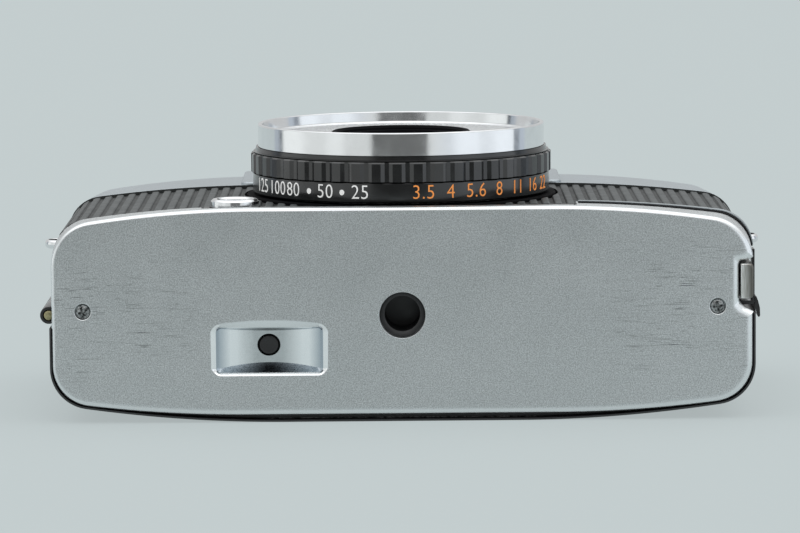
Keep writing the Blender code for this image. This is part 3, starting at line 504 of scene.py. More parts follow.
looks = {
    "base": beadSilver(plateLook),
    "silver": beadSilver(topLook),
    "chrome": brushedChrome("bright_chrome", (0.86, 0.87, 0.88), 0.11),
    # the latch slider's colour darkens towards its right side: painted shade
    "nickel": grainLook("nickel_painted_shade", (0.86, 0.835, 0.765), 0.26, 0.32, metal=1.0, mottle=0.35, vary=0.10,
                        stretch=(1.0, 1.0, 0.12), fadeTo=("X", (51.75, 53.1), (0.15, 0.145, 0.13))),
    # the scoop's floor, walls and rim carry painted reflection, painted shade and painted highlight
    "scoopFloor": scoopLook("scoop_floor_painted_light", (0.93, 0.96, 0.975), (0.56, 0.59, 0.60), 0.17, (1.9, 5.0),
                            ends=((6.0, 7.9), (0.42, 0.48, 0.53))),
    "scoopWall": scoopLook("scoop_wall_painted_shade", (0.50, 0.56, 0.61), (0.07, 0.08, 0.09), 0.28, (0.6, 6.5)),
    "scoopRim": scoopLook("scoop_rim_painted_highlight", (0.96, 0.975, 0.98), (0.80, 0.82, 0.83), 0.14, (1.0, 7.0)),
    "brass": grainLook("turned_brass", (0.78, 0.57, 0.27), 0.28, 0.2, metal=1.0, mottle=0.12, vary=0.08,
                       relief=0.005),
    "agedBrass": grainLook("aged_brass", (0.36, 0.33, 0.19), 0.36, 0.3, metal=0.9, mottle=0.3, vary=0.10,
                           relief=0.008),
    "screw": grainLook("pitted_screw", (0.27, 0.28, 0.28), 0.34, 0.34, metal=1.0, mottle=0.9, vary=0.12,
                       relief=0.12),
    "hinge": grainLook("hinge_enamel", (0.018, 0.018, 0.019), 0.2, 0.3, mottle=0.25, vary=0.05, relief=0.004),
    "steel": grainLook("plain_steel", (0.50, 0.50, 0.51), 0.34, 0.18, metal=1.0, mottle=0.12, vary=0.10,
                       relief=0.006),
    "black": grainLook("black_enamel", (0.016, 0.016, 0.017), 0.34, 0.3, mottle=0.25, vary=0.08,
                       relief=0.006, wear=0.5),
    "plastic": grainLook("black_moulding", (0.020, 0.020, 0.021), 0.42, 0.22, relief=0.008),
    "anodised": grainLook("black_anodised", (0.022, 0.022, 0.023), 0.36, 0.15, metal=0.25, mottle=0.25,
                          vary=0.07, relief=0.004, wear=0.35),
    "ringBlack": grainLook("ring_black", (0.004, 0.004, 0.0045), 0.17, 0.12, vary=0.05, relief=0.001,
                           shine=0.85),
    "matt": grainLook("matt_black", (0.006, 0.006, 0.007), 0.75, 0.2, relief=0.01, shine=0.05),
    "covering": grainLook("ribbed_covering", (0.062, 0.069, 0.070), 0.55, 0.16),
    # darker finish for the groove floors and for the strip under the top cover: painted shade
    "groove": grainLook("covering_groove_painted_shade", (0.025, 0.028, 0.028), 0.62, 0.16),
    "skin": grainLook("back_skin", (0.028, 0.029, 0.031), 0.44, 0.55, mottle=0.18, vary=0.07, relief=0.05),
    "casting": grainLook("black_casting", (0.045, 0.045, 0.046), 0.6, 0.4, metal=0.3, vary=0.08),
    "white": grainLook("white_moulding", (0.74, 0.74, 0.72), 0.45, 0.3, mottle=0.04, relief=0.004),
    "cell": grainLook("meter_cell", (0.20, 0.17, 0.12), 0.35, 0.5, metal=0.2, mottle=0.15, relief=0.01),
    # the white and orange figures glow a little though they are paint: painted light
    "whitePaint": grainLook("white_figures", (0.97, 0.97, 0.95), 0.5, 0.12, mottle=0.06, vary=0.05,
                            relief=0.004, glow=0.2),
    "orangePaint": grainLook("orange_figures", (1.0, 0.34, 0.07), 0.5, 0.12, mottle=0.08, vary=0.05,
                             relief=0.004, glow=0.22),
    "bubble": glassLook("bubble_window", (0.90, 0.92, 0.93), 0.55, 0.12),
    "window": glassLook("clear_window", (0.93, 0.95, 0.96), 0.9),
    "lens": glassLook("coated_lens", (0.42, 0.38, 0.62), 0.75),
}
print("finishes made")


# Camera, floor and light

shot = {"eye": (-0.55, -723.0, 99.2), "pitch": 6.24, "yaw": -0.02, "roll": -0.47, "lens": 205.8}
studio = {"floor": (0.536, 0.594, 0.600), "lift": 0.74, "reach": 9000.0, "tint": (0.98, 0.995, 1.0),
          "horizon": 0.62, "zenith": 1.50, "rise": (0.42, 0.86)}
# panels of a reflector screen round the camera, seen only in its reflections: first and last
# bearing in degrees (0 is the camera side, + to the right) and brightness
boards = [(-118.0, -111.6, 0.50), (-109.8, -107.3, 0.15), (-105.0, -86.0, 0.97), (-76.0, -62.0, 0.80),
          (-57.0, -47.0, 0.90), (-42.0, -23.0, 0.75), (-21.6, 19.8, 0.17), (21.2, 36.0, 0.80),
          (47.0, 61.0, 1.03), (65.0, 72.0, 0.90), (82.0, 98.4, 1.05), (99.8, 105.0, 0.30),
          (107.0, 114.0, 0.60)]
boardSpec = {"distance": 280.0, "height": 130.0, "left": (0.965, 1.0, 0.995), "right": (0.93, 0.985, 1.035),
             "limb": (0.86, 0.96, 1.08), "parting": 30.0, "limbs": (-106.0, 99.0)}


def makeCamera():
    data = bpy.data.cameras.new("photo_camera")
    data.sensor_width = 36.0
    data.lens = shot["lens"]
    data.clip_start = 0.01
    data.clip_end = 60.0
    eye = bpy.data.objects.new("photo_camera", data)
    bpy.context.scene.collection.objects.link(eye)
    eye.rotation_mode = "QUATERNION"
    yaw, pitch, roll = (math.radians(angle) for angle in pick(shot, "yaw", "pitch", "roll"))
    look = Vector((-math.sin(yaw) * math.cos(pitch), math.cos(yaw) * math.cos(pitch), -math.sin(pitch)))
    eye.rotation_quaternion = look.to_track_quat("-Z", "Y") @ Quaternion((0.0, 0.0, 1.0), roll)
    eye.location = Vector(shot["eye"]) * mm
    bpy.context.scene.camera = eye


def makeFloor():
    # the floor is lit from below a little, which keeps the contact shadow soft
    lift, reach = studio["lift"], studio["reach"]
    look = grainLook("pale_floor", [c * (1.0 - lift) for c in studio["floor"]], 0.9, 2.0, mottle=0.008,
                     vary=0.03, relief=0.004, shine=0.0, glow=lift / (1.0 - lift))
    floor = solid(boxMesh(-reach, reach, -reach, reach, -2.0, 0.0), "pale_floor")
    floor.data.materials.append(look)


def makeBoards():
    look = bpy.data.materials.new("reflector_screen")
    look.use_nodes = True
    tree = look.node_tree
    tree.nodes.remove(tree.nodes["Principled BSDF"])
    glow = node(tree, "ShaderNodeEmission")
    shade = node(tree, "ShaderNodeAttribute", attribute_name="glow")
    tree.links.new(shade.outputs["Color"], glow.inputs["Color"])
    tree.links.new(glow.outputs["Emission"], tree.nodes["Material Output"].inputs["Surface"])
    bm = bmesh.new()
    layer = bm.verts.layers.float_color.new("glow")
    rows = []
    for bearing, bright in [(bearing, board[2]) for board in boards for bearing in board[:2]]:
        angle = math.radians(bearing)
        x = lensAxis[0] + boardSpec["distance"] * math.sin(angle)
        y = lensAxis[1] - boardSpec["distance"] * math.cos(angle)
        tint = boardSpec["left"] if bearing < boardSpec["parting"] else boardSpec["right"]
        if not boardSpec["limbs"][0] <= bearing <= boardSpec["limbs"][1]:
            tint = boardSpec["limb"]
        row = [bm.verts.new(Vector((x, y, z)) * mm) for z in (0.0, boardSpec["height"])]
        for vertex in row:
            vertex[layer] = (*[bright * c for c in tint], 1.0)
        rows.append(row)
    for first, second in zip(rows, rows[1:]):
        bm.faces.new((first[0], second[0], second[1], first[1]))
    screen = solid(bm, "reflector_screen")
    screen.data.materials.append(look)
    for ray in ("camera", "diffuse", "transmission", "shadow"):
        setattr(screen, "visible_" + ray, False)


def makeLight():
    # soft even light, brighter overhead than at the horizon
    world = bpy.data.worlds.new("studio")
    bpy.context.scene.world = world
    world.use_nodes = True
    tree = world.node_tree
    back = tree.nodes["Background"]
    back.inputs["Color"].default_value = (*studio["tint"], 1.0)
    place = node(tree, "ShaderNodeTexCoord")
    split = node(tree, "ShaderNodeSeparateXYZ")
    tree.links.new(place.outputs["Generated"], split.inputs["Vector"])
    rise = spread(tree, split.outputs["Z"], studio["horizon"], studio["zenith"], *studio["rise"])
    tree.links.new(rise, back.inputs["Strength"])


bpy.context.scene.view_settings.view_transform = "Standard"
makeCamera()
makeFloor()
makeBoards()
makeLight()
print("camera, floor and light made")


# Base plate and what is set into it

baseSpec = {"edge": 0.95, "edgeDepth": 0.9, "lean": 0.3, "thick": 1.5, "wall": 1.1, "wallTop": -25.5,
            "notchFillet": 1.12,
            "screws": {"base_screw_left": (-48.6, 17.2), "base_screw_right": (47.95, 17.3)}}
recessSpec = {"centre": (-20.27, 11.66), "mouth": (9.13, 4.37, 1.5), "mouthLift": -0.19, "crown": 0.78,
              "bulge": 0.045, "lip": (8.05, 3.36, 0.6), "lipLift": -0.6, "lipDepth": 0.6, "up": (2.15, 2.72),
              "down": (2.72, 3.55), "depth": 2.7, "arc": 18.0, "fillet": 0.85, "steps": 8,
              "inside": (8.1, 4.1), "span": (0.55, 3.6), "rim": (9.3, 4.8, 0.7)}
notchOutline = [(51.25, 18.0), (51.25, 24.1), (52.5, 24.15), (53.4, 24.7), (56.0, 25.8), (56.0, 15.7),
                (53.4, 16.4), (52.0, 17.1)]
notchRadii = [0.7, 0.5, 1.0, 1.0, 0.0, 0.0, 1.0, 1.0]


def scoopDepth(spec, x):
    # depth of the hollowed floor, with a tight curve up to the lip at both ends
    flat = spec["lip"][0] - spec["fillet"]
    if abs(x) <= flat:
        return spec["depth"] - x * x / (2.0 * spec["arc"])
    rest = abs(x) - flat
    start = spec["depth"] - flat * flat / (2.0 * spec["arc"])
    slope = flat / spec["arc"]
    bend = (start - slope * spec["fillet"] - spec["lipDepth"] - 0.06) / spec["fillet"] ** 2
    return start - slope * rest - bend * rest * rest


def recessTool(spec):
    # finger scoop: the face rolls over to a lip, steep walls drop from it to a hollowed floor
    x, z = spec["centre"]
    mouth = []
    for a, b in roundedBox((0.0, 0.0), *spec["mouth"], 8, 48):
        share = b / spec["mouth"][1]
        drop = spec["crown"] * (a / spec["mouth"][0]) ** 2 * max(0.0, share)
        mouth.append((a * (1.0 - spec["bulge"] * share * share), b - drop + spec["mouthLift"]))
    lip = roundedBox((0.0, 0.0), *spec["lip"], 8, 48)
    rows = [[(x + a, baseY - 0.6, z + b) for a, b in mouth]]
    for step in [i / spec["steps"] for i in range(spec["steps"] + 1)]:
        sink = baseY + spec["lipDepth"] * step ** 1.3
        rows.append([(x + a + step * (c - a), sink, z + b + step * (d + spec["lipLift"] - b))
                     for (a, b), (c, d) in zip(mouth, lip)])
    row = []
    for a, b in lip:
        share = b / spec["lip"][1]
        end = (a / spec["lip"][0]) ** 2
        middle, far = spec["up"] if share > 0.0 else spec["down"]
        reach = middle + end * (far - middle) + (0.3 if share > 0.0 else -0.3)
        row.append((x + 0.985 * a, baseY + scoopDepth(spec, a), z - 0.3 + share * reach))
    bm = loft(rows + [row], capEnd=False)
    bm.verts.ensure_lookup_table()
    count = len(row)
    floor = list(bm.verts)[-count:]
    for i in range(count // 2):
        ladder = [floor[i], floor[i + 1], floor[-(i + 1) % count], floor[-i % count]]
        bm.faces.new(list(dict.fromkeys(ladder)))
    return bm


def finishRecess(plate):
    # painted reflection makes the floor of the scoop brighter than the face, painted shade makes its steep
    # walls dark and a painted highlight makes the ends of its rim bright
    for look in ("scoopFloor", "scoopWall", "scoopRim"):
        plate.data.materials.append(looks[look])
    (x, z), inside, span, rim = pick(recessSpec, "centre", "inside", "span", "rim")
    for face in plate.data.polygons:
        spot = face.center / mm
        across, up, depth = abs(spot.x - x), abs(spot.z - z), spot.y - baseY
        if across < inside[0] and up < inside[1] and span[0] < depth < span[1]:
            face.material_index = 2 if abs(face.normal.z) > 0.6 else 1
        elif across < rim[0] and up < rim[1] and depth < rim[2] and abs(face.normal.x) > 0.15:
            face.material_index = 3


def flaredHole(spot, radius, fillet, depth, steps):
    # a round hole cutter along Y whose mouth at the face of the base is rounded
    plan = [(baseY - 0.5, fillet)] + roundEdge(baseY, baseY + fillet, fillet, 4) + [(depth, 0.0)]
    return loft([levelY(circle(spot, radius + grow, steps), y) for y, grow in plan])


def notchTool(fillet):
    # latch notch in the right edge, with the rolled edge of the plate carried round it
    plan = [(baseY - 0.5, fillet)] + roundEdge(baseY, baseY + fillet, fillet, 5) + [(-24.0, 0.0)]
    rings = []
    for y, step in plan:
        grown = []
        for x, z in notchOutline:  # wider to the left and both ways in height, the open end stays
            grown.append((x - (step if x < 55.0 else 0.0), z + (step if z > 21.1 else -step)))
        rings.append(levelY(rounded(grown, notchRadii, 6), y))
    return loft(rings)


def makeBasePlate():
    floorY = baseY + baseSpec["thick"]
    wall, top = baseSpec["wall"], baseSpec["wallTop"]
    rings = []
    for y, inset in roundEdge(baseY, baseY + baseSpec["edgeDepth"], baseSpec["edge"]):
        # the roll is broader on the right and below than on the left and above
        lean = baseSpec["lean"] * inset / baseSpec["edge"]
        rings.append([(x - lean, y, z + lean) for x, z in bodyOutline(plateShape, inset)])
    rings += [levelY(bodyOutline(seamShape, inset), top - 0.15 + inset) for inset in (0.0, 0.15)]
    plate = solid(loft(rings))
    cut(plate, bodyLoft([(bodyShape, floorY, wall), (bodyShape, top + 1.0, wall)]),
        boxMesh(-farOut, farOut, floorY, top + 1.0, -1.0, 18.3),  # room for the back
        boxMesh(45.0, farOut, floorY, top + 1.0, 16.0, 25.9),  # for the latch
        boxMesh(-farOut, -30.4, -29.2, top + 1.0, 18.2, 40.0))  # for the left covering
    gap = [(-30.5, -30.9), (26.7, -30.9), (26.7, top + 2.0), (-30.5, top + 2.0)]  # for the lens board
    gap = rounded(gap, [0.8, 0.8, 0.0, 0.0])
    cut(plate, alongZ(gap, (27.0, 40.0)), notchTool(baseSpec["notchFillet"]))
    x = recessSpec["centre"][0]
    unite(plate, boxMesh(x - 10.4, x + 10.4, floorY - 0.3, -29.3, 6.0, 17.7))
    cut(plate, recessTool(recessSpec), alongY(circle(buttonSpot, 1.60, 64), (-34.0, -29.0)),
        turned([(0.0, -30.9), (2.12, -30.9), (1.60, -30.15), (0.0, -30.15)], buttonSpot, 64),
        flaredHole(tripodSpot, 3.5, 0.12, -31.0, 96))
    for spot in baseSpec["screws"].values():
        cut(plate, flaredHole(spot, 1.19, 0.2, -32.1, 48), alongY(circle(spot, 0.95, 32), (-33.0, -31.0)))
    dress(plate, "base_plate_skin", "base", "base_plate", 32.0, flats=True)
    finishRecess(plate)


screwSpec = {"head": 1.09, "slot": 0.34, "reach": 0.74, "turns": (24.0, 8.0)}


def makeScrews():
    head = screwSpec["head"]
    profile = [(0.0, -32.92), (0.5, -32.90), (0.8, -32.84), (head - 0.10, -32.74), (head - 0.02, -32.66),
               (head, -32.55), (head, -32.2), (0.75, -32.2), (0.75, -30.4), (0.0, -30.4)]
    for (name, (x, z)), turn in zip(baseSpec["screws"].items(), screwSpec["turns"]):
        screw = solid(turned(profile, (x, z), 40))
        for angle in (math.radians(turn), math.radians(turn + 90.0)):
            along = Vector((math.cos(angle), math.sin(angle))) * screwSpec["reach"]
            across = Vector((-math.sin(angle), math.cos(angle))) * (0.5 * screwSpec["slot"])
            rings = []
            for share, y in ((1.0, -33.4), (1.0, -32.8), (0.55, -32.3)):
                far = share * along
                corners = (far + across, across - far, -far - across, far - across)
                rings.append([(x + p.x, y, z + p.y) for p in corners])
            cut(screw, loft(rings))
        dress(screw, name + "_head", "screw", name, 30.0)


threadSpec = {"mouth": 3.48, "crest": 2.72, "root": 3.0, "pitch": 1.27, "turns": 5}


def makeTripodBush():
    crest, root, pitch = pick(threadSpec, "crest", "root", "pitch")
    profile = [(0.0, -22.4), (5.6, -22.4), (5.6, -31.45), (threadSpec["mouth"], -31.45), (3.05, -30.95)]
    for y in [-30.8 + pitch * i for i in range(threadSpec["turns"])]:
        profile += [(crest, y), (crest, y + 0.18 * pitch), (root, y + 0.55 * pitch), (root, y + 0.65 * pitch)]
    profile += [(2.7, -24.3), (0.0, -24.3)]
    dressTurned(profile, tripodSpot, 64, "tripod_bush_thread", "anodised", "tripod_bush", 28.0)


def makeRewindButton():
    profile = [(0.0, -30.47), (0.9, -30.48), (1.1, -30.51), (1.28, -30.52), (1.38, -30.47), (1.42, -30.35),
               (1.42, -29.1), (2.6, -29.1), (2.6, -28.3), (1.1, -28.3), (1.1, -27.2), (0.0, -27.2)]
    dressTurned(profile, buttonSpot, 48, "rewind_button_cap", "plastic", "rewind_button",
                body="rewind_release")


latchSpec = {"low": 18.35, "high": 23.75, "ribs": 7, "ribPitch": 0.95}


def makeLatch():
    low, high = latchSpec["low"], latchSpec["high"]
    bar = solid(boxMesh(51.95, 53.15, -30.0, 4.0, low, high))
    unite(bar, boxMesh(51.5, 53.15, -30.3, -28.9, low, high))
    for y in [-4.0 + latchSpec["ribPitch"] * i for i in range(latchSpec["ribs"])]:  # finger ribs
        rib = [(53.0, y), (53.36, y + 0.2), (53.36, y + 0.45), (53.0, y + 0.65)]
        unite(bar, alongZ(rib, (low + 0.7, high - 0.7)))
    bevelled(bar, 0.08)
    rings = []
    for y, inset in roundEdge(-32.7, -32.4, 0.3) + [(-30.1, 0.0)]:
        left, right, down, up = 51.45 + inset, 53.4 - inset, low + inset, high - inset
        foot = rounded([(left, down), (right, down), (right, up), (left, up)], [0.2, 0.75, 0.75, 0.2])
        rings.append(levelY(foot, y))
    unite(bar, loft(rings))
    dress(bar, "latch_slider_bar", "nickel", "latch_slider", body="latch", flats=True)
    bridge = solid(boxMesh(53.4, 53.8, -29.4, -26.4, 17.1, 25.6))
    for foot in ((24.6, 25.6), (17.1, 17.7)):
        unite(bridge, boxMesh(51.2, 53.5, -29.4, -26.4, *foot))
    bevelled(bridge, 0.12)
    dress(bridge, "latch_guide_bridge", "hinge", "latch_guide", flats=True)


# the matt black strip stands where the seam is only in shadow: a painted shadow line
# name, low and high edge, rise from the wall, rise at the right, finish
trimSpec = {"start": 27.0, "end": 25.95, "strips": (("base_seam_shadow_strip", -28.2, -26.6, 0.10, 0.24, "matt"),
                                                   ("base_seam_lip", -26.6, -25.5, 0.20, 0.38, "silver"))}


def wallShape(y):
    # outline of the base's wall, which widens from the rolled edge to the seam
    start = baseY + baseSpec["edgeDepth"]
    share = (y - start) / (baseSpec["wallTop"] - start)
    return {key: value + share * (seamShape[key] - value) for key, value in bodyShape.items()}


def makeTrim():
    # matt black strip, a painted shadow line along the seam, and a pale lip between base and covering, from
    # the lens board round the right corner
    for name, low, high, rise, out, look in trimSpec["strips"]:
        rings = [[(x + out - rise, y, z) for x, z in bodyOutline(wallShape(y), -rise)] for y in (low, high)]
        strip = solid(loft(rings))
        cut(strip, bodyLoft([(wallShape(y), y, 0.04) for y in (low - 0.5, high + 0.5)]),
            boxMesh(-farOut, trimSpec["start"], low - 1.0, high + 1.0, -5.0, 40.0),
            boxMesh(0.0, farOut, low - 1.0, high + 1.0, -5.0, trimSpec["end"]))
        dress(strip, name, look)


makeBasePlate()
makeTrim()
makeScrews()
makeTripodBush()
makeRewindButton()
makeLatch()
print("base plate and its fittings made")


# Lens, seen from outside in

ringSpec = {"steps": 192, "ribs": 46, "radius": 23.6, "depth": 0.35, "inner": 21.8, "phase": -93.2,
            "bezel": 22.5, "rim": 43.6}
gripShares = [(0.0, 0.0), (0.215, 0.0), (0.43, 0.0), (0.61, 1.0), (0.715, 1.0), (0.82, 1.0)]
figureSpec = {"size": 2.2, "height": 34.5, "radius": 23.3, "rise": 0.02, "thick": 0.03, "squeeze": 0.92,
              "dot": 0.43, "thin": -0.03}
whiteFigures = [("125", -67.6), ("100", -55.4), ("80", -45.7), ("dot", -37.5), ("50", -30.2), ("dot", -23.0),
                ("25", -15.75)]
orangeFigures = [("3.5", 8.4), ("4", 19.0), ("5.6", 29.6), ("8", 40.3), ("11", 50.4), ("16", 60.8),
                 ("22", 71.1)]


def makeRings():
    profile = rounded([(21.8, 32.9), (23.3, 32.9), (23.3, 35.95), (21.8, 35.95)], [0.0, 0.22, 0.1, 0.0])
    dressTurned(profile, lensAxis, ringSpec["steps"], "scale_ring_band", "ringBlack", "scale_ring",
                body="speed_ring", upright=True)
    points = ribbedRing(ringSpec["radius"], ringSpec["depth"], ringSpec["ribs"], gripShares,
                        math.radians(ringSpec["phase"]))
    inner = [(angle, ringSpec["inner"]) for angle, reach in points]
    plan = [(36.05, -0.10, math.inf), (36.17, 0.0, math.inf), (38.95, 0.0, math.inf), (39.15, 0.0, 23.3)]
    rings = [levelZ(polarRing(points, lensAxis, grow, limit), z) for z, grow, limit in plan]
    rings += [levelZ(polarRing(inner, lensAxis), z) for z in (39.15, 36.05)]
    dress(solid(loft(rings, closed=True)), "grip_ring_ribs", "ringBlack", "grip_ring", 22.0, "speed_ring")


def closeSlab(bm, low, high):
    joinRows(bm, low, high)
    for end in (low[::-1], high):
        bm.faces.new(end)


def figureMesh(text):
    # a figure as a thin solid in millimetres, centred across and upright in height
    thick = figureSpec["thick"]
    bm = bmesh.new()
    if text == "dot":
        spots = circle((0.0, 0.0), figureSpec["dot"], 24)
        closeSlab(bm, *[[bm.verts.new(point) for point in levelZ(spots, z)] for z in (-thick, thick)])
        return bm
    curve = bpy.data.curves.new("figure", "FONT")
    curve.body = text
    curve.size = figureSpec["size"] * 1.40
    curve.align_x = "CENTER"
    curve.align_y = "CENTER"
    curve.resolution_u = 4
    curve.space_character = 1.06
    curve.extrude = thick
    curve.offset = figureSpec["thin"]
    holder = bpy.data.objects.new("figure", curve)
    bpy.context.scene.collection.objects.link(holder)
    mesh = finalMesh(holder)
    bm.from_mesh(mesh)
    bmesh.ops.remove_doubles(bm, verts=bm.verts, dist=0.0005)
    bmesh.ops.dissolve_degenerate(bm, dist=0.003, edges=bm.edges)
    bpy.data.objects.remove(holder)
    bpy.data.curves.remove(curve)
    bpy.data.meshes.remove(mesh)
    return bm


def layFigure(whole, bm, place):
    # copies a figure into a larger mesh, each point where place puts it
    made = {vertex: whole.verts.new(Vector(place(vertex.co)) * mm) for vertex in bm.verts}
    for face in bm.faces:
        whole.faces.new([made[vertex] for vertex in face.verts])
    bm.free()


def makeFigures(figures, name, look):
    # each figure is bent round the scale ring and stands a hair proud of it
    whole = bmesh.new()
    for text, degrees in figures:
        bm = figureMesh(text)
        bmesh.ops.triangulate(bm, faces=bm.faces)
        bmesh.ops.subdivide_edges(bm, edges=[e for e in bm.edges if e.calc_length() > 0.4], cuts=2)

        def bent(spot, middle=math.radians(degrees)):
            angle = middle + spot.x * figureSpec["squeeze"] / figureSpec["radius"]
            reach = figureSpec["radius"] + figureSpec["rise"] + spot.z
            x = lensAxis[0] + reach * math.sin(angle)
            return x, lensAxis[1] - reach * math.cos(angle), figureSpec["height"] + spot.y

        layFigure(whole, bm, bent)
    dress(solid(whole, name), name, look, crease=60.0, body="speed_ring")


def makeBezel():
    outer, rim, steps = pick(ringSpec, "bezel", "rim", "steps")
    profile = rounded([(20.7, 40.07), (outer - 0.03, 40.07), (outer, 40.1), (outer, rim), (outer - 0.65, rim),
                       (outer - 0.85, 41.9), (20.7, 41.6)], [0.0, 0.0, 0.0, 0.25, 0.2, 0.35, 0.0], 6)
    dressTurned(profile, lensAxis, steps, "front_bezel_ring", "chrome", "front_bezel", upright=True)
    profile = [(11.2, 39.3), (23.2, 39.3), (23.2, 39.36), (22.9, 39.46), (22.8, 40.02), (20.6, 40.02),
               (20.6, 40.2), (11.2, 40.2)]
    dressTurned(profile, lensAxis, steps, "bevel_ring_band", "ringBlack", "bevel_ring", upright=True)


windowSpec = {"inner": 10.95, "outer": 20.35, "low": 41.25, "top": 41.85, "bubble": 0.04, "pitch": 1.05,
              "rows": 9, "fine": 6, "steps": 480, "edge": 0.5, "fall": 0.25}


def makeMeterWindow():
    # clear ring whose face is packed with small round lenses in rows, over the light cell
    inner, outer, fine, steps, margin = pick(windowSpec, "inner", "outer", "fine", "steps", "edge")
    last = windowSpec["rows"] * fine
    rings = []
    for k in range(last + 1):
        radius = inner + (outer - inner) * k / last
        across = math.sin(math.pi * (k % fine) / fine) if k < last else 0.0
        count = max(12, int(fullTurn * radius / windowSpec["pitch"]))
        start = quarter if k // fine % 2 else 0.0
        edge = min(1.0, (radius - inner) / margin, (outer - radius) / margin)
        ring = []
        for i, (x, y) in enumerate(circle(lensAxis, radius, steps)):
            along = abs(math.sin(math.pi * count * i / steps + start))
            height = windowSpec["top"] + windowSpec["bubble"] * across * along
            ring.append((x, y, height - windowSpec["fall"] * (1.0 - edge)))
        rings.append(ring)
    rings += [levelZ(circle(lensAxis, radius, steps), windowSpec["low"]) for radius in (outer, inner)]
    dress(solid(loft(rings, closed=True)), "meter_window_ring", "bubble", "meter_window", 60.0)
    cell = [(11.3, 40.3), (20.4, 40.3), (20.4, 41.1), (11.3, 41.1)]
    dressTurned(cell, lensAxis, 96, "meter_cell_ring", "cell", "meter_cell", upright=True)


def domed(reach, low, rise, steps):
    # rounded top of a turned piece, from its edge to the axis
    radii = [reach * (1.0 - i / steps) for i in range(1, steps + 1)]
    return [(radius, low + rise * (1.0 - (radius / reach) ** 2)) for radius in radii]


baffleSpec = {"rings": 6, "radius": 9.95, "narrow": 0.46, "height": 41.95, "drop": 0.42}


def makeLensCone():
    profile = [(7.2, 37.0), (10.85, 37.0), (10.85, 42.15), (10.7, 42.28), (10.3, 42.28), (10.15, 42.1)]
    for i in range(baffleSpec["rings"]):  # steps down to the front glass
        reach = baffleSpec["radius"] - baffleSpec["narrow"] * i
        height = baffleSpec["height"] - baffleSpec["drop"] * i
        profile += [(reach, height), (reach - 0.05, height - 0.32), (reach - 0.30, height - 0.36)]
    profile += [(7.2, 39.3)]
    dressTurned(profile, lensAxis, 128, "lens_cone_baffle", "matt", "lens_cone", 30.0, upright=True)
    front = [(0.0, 37.2), (6.9, 37.2), (6.9, 38.0)] + domed(6.9, 38.0, 1.6, 12)
    dressTurned(front, lensAxis, 96, "front_lens_glass", "lens", "front_lens", 50.0, upright=True)


def makeLensBoard():
    board = solid(boxMesh(-30.2, 26.4, -30.75, -25.5, 30.9, 32.4))
    cut(board, lensBore(), socketBore())
    bevelled(board, 0.12, 2)
    dress(board, "lens_board_strip", "black", "lens_board", flats=True)
    profile = rounded([(15.0, 30.9), (24.3, 30.9), (24.3, 32.6), (15.0, 32.6)], [0.0, 0.0, 0.2, 0.0])
    dressTurned(profile, lensAxis, 160, "lens_mount_ring", "matt", "lens_mount_plate", upright=True)


def makeSyncSocket():
    profile = rounded([(3.675, 31.0), (3.675, 33.35), (3.35, 33.65), (2.8, 33.65), (2.5, 33.35), (2.5, 31.0)],
                      [0.0, 0.16, 0.12, 0.12, 0.15, 0.0])
    dressTurned(profile, socketSpot, 96, "sync_socket_collar", "chrome", "sync_socket", upright=True)
    profile = [(0.0, 31.0), (2.2, 31.0), (2.2, 32.1), (2.05, 32.25), (1.15, 32.25), (1.05, 32.0),
               (0.75, 32.0), (0.62, 32.2), (0.58, 32.9), (0.4, 33.0), (0.0, 33.0)]
    dressTurned(profile, socketSpot, 64, "sync_socket_core", "white", "sync_pin", 35.0, upright=True)


makeRings()
makeFigures(whiteFigures, "white_speed_figures", "whitePaint")
makeFigures(orangeFigures, "orange_stop_figures", "orangePaint")
makeBezel()
makeMeterWindow()
makeLensCone()
makeLensBoard()
makeSyncSocket()
print("lens made")


# Front covering, back and hinge

coverSpec = {"start": 15.95, "pitch": 1.9, "thick": 1.2, "low": -25.4, "leftLow": -29.1, "high": 6.8,
             "leftEnd": 18.2, "rightEnd": 16.9, "groove": 0.18}
ribProfile = [(0.0, 0.16), (0.03, 0.07), (0.08, 0.02), (0.15, 0.0), (0.46, 0.0), (0.53, 0.02), (0.58, 0.07),
              (0.61, 0.16), (0.66, 0.29), (0.80, 0.32), (0.95, 0.29)]
hingeSpec = {"axis": (-53.9, 16.5), "radius": 1.32, "bore": 0.88}
doorSpec = {"low": -31.3, "skinLow": -32.6, "high": 18.3, "leftTop": 14.6, "rightTop": 16.2, "edge": 0.2}
tabOutline = [(53.77, 13.5), (53.92, 13.5), (53.92, 16.3), (54.0, 16.45), (54.2, 15.4), (54.45, 15.1),
              (54.65, 15.4), (54.6, 16.6), (54.35, 17.6), (54.05, 18.4), (53.87, 18.3), (53.9, 17.3),
              (53.77, 16.9)]
tabRadii = [0.0, 0.05, 0.05, 0.05, 0.3, 0.3, 0.3, 0.6, 0.6, 0.1, 0.1, 0.3, 0.0]


def coverCurve(endZ, inset=0.0):
    # line of the covering from its inner end round the corner: (distance from the middle, depth)
    end = (leatherShape["half"] - inset, leatherShape["front"] - endZ)
    return [(coverSpec["start"], inset)] + quarterCurve(leatherShape, inset, 10) + [end]


def ribbedOutline(side, endZ):
    # covering strip round the front corner: rounded ribs outside, smooth inside
    curve = coverCurve(endZ)
    lengths = [0.0]
    for first, second in zip(curve, curve[1:]):
        lengths.append(lengths[-1] + math.dist(first, second))
    outer = []
    for k in range(int(lengths[-1] / coverSpec["pitch"])):
        for share, sink in ribProfile:
            reach = coverSpec["pitch"] * (k + share)
            i = max(n for n in range(len(curve) - 1) if lengths[n] <= reach)
            first, second = Vector(curve[i]), Vector(curve[i + 1])
            along = (second - first).normalized()
            spot = first + along * (reach - lengths[i]) + Vector((-along.y, along.x)) * sink
            outer.append((spot.x, spot.y))
    strip = outer + curve[-1:] + coverCurve(endZ, coverSpec["thick"])[::-1]
    return [(side * x, leatherShape["front"] - depth) for x, depth in strip]


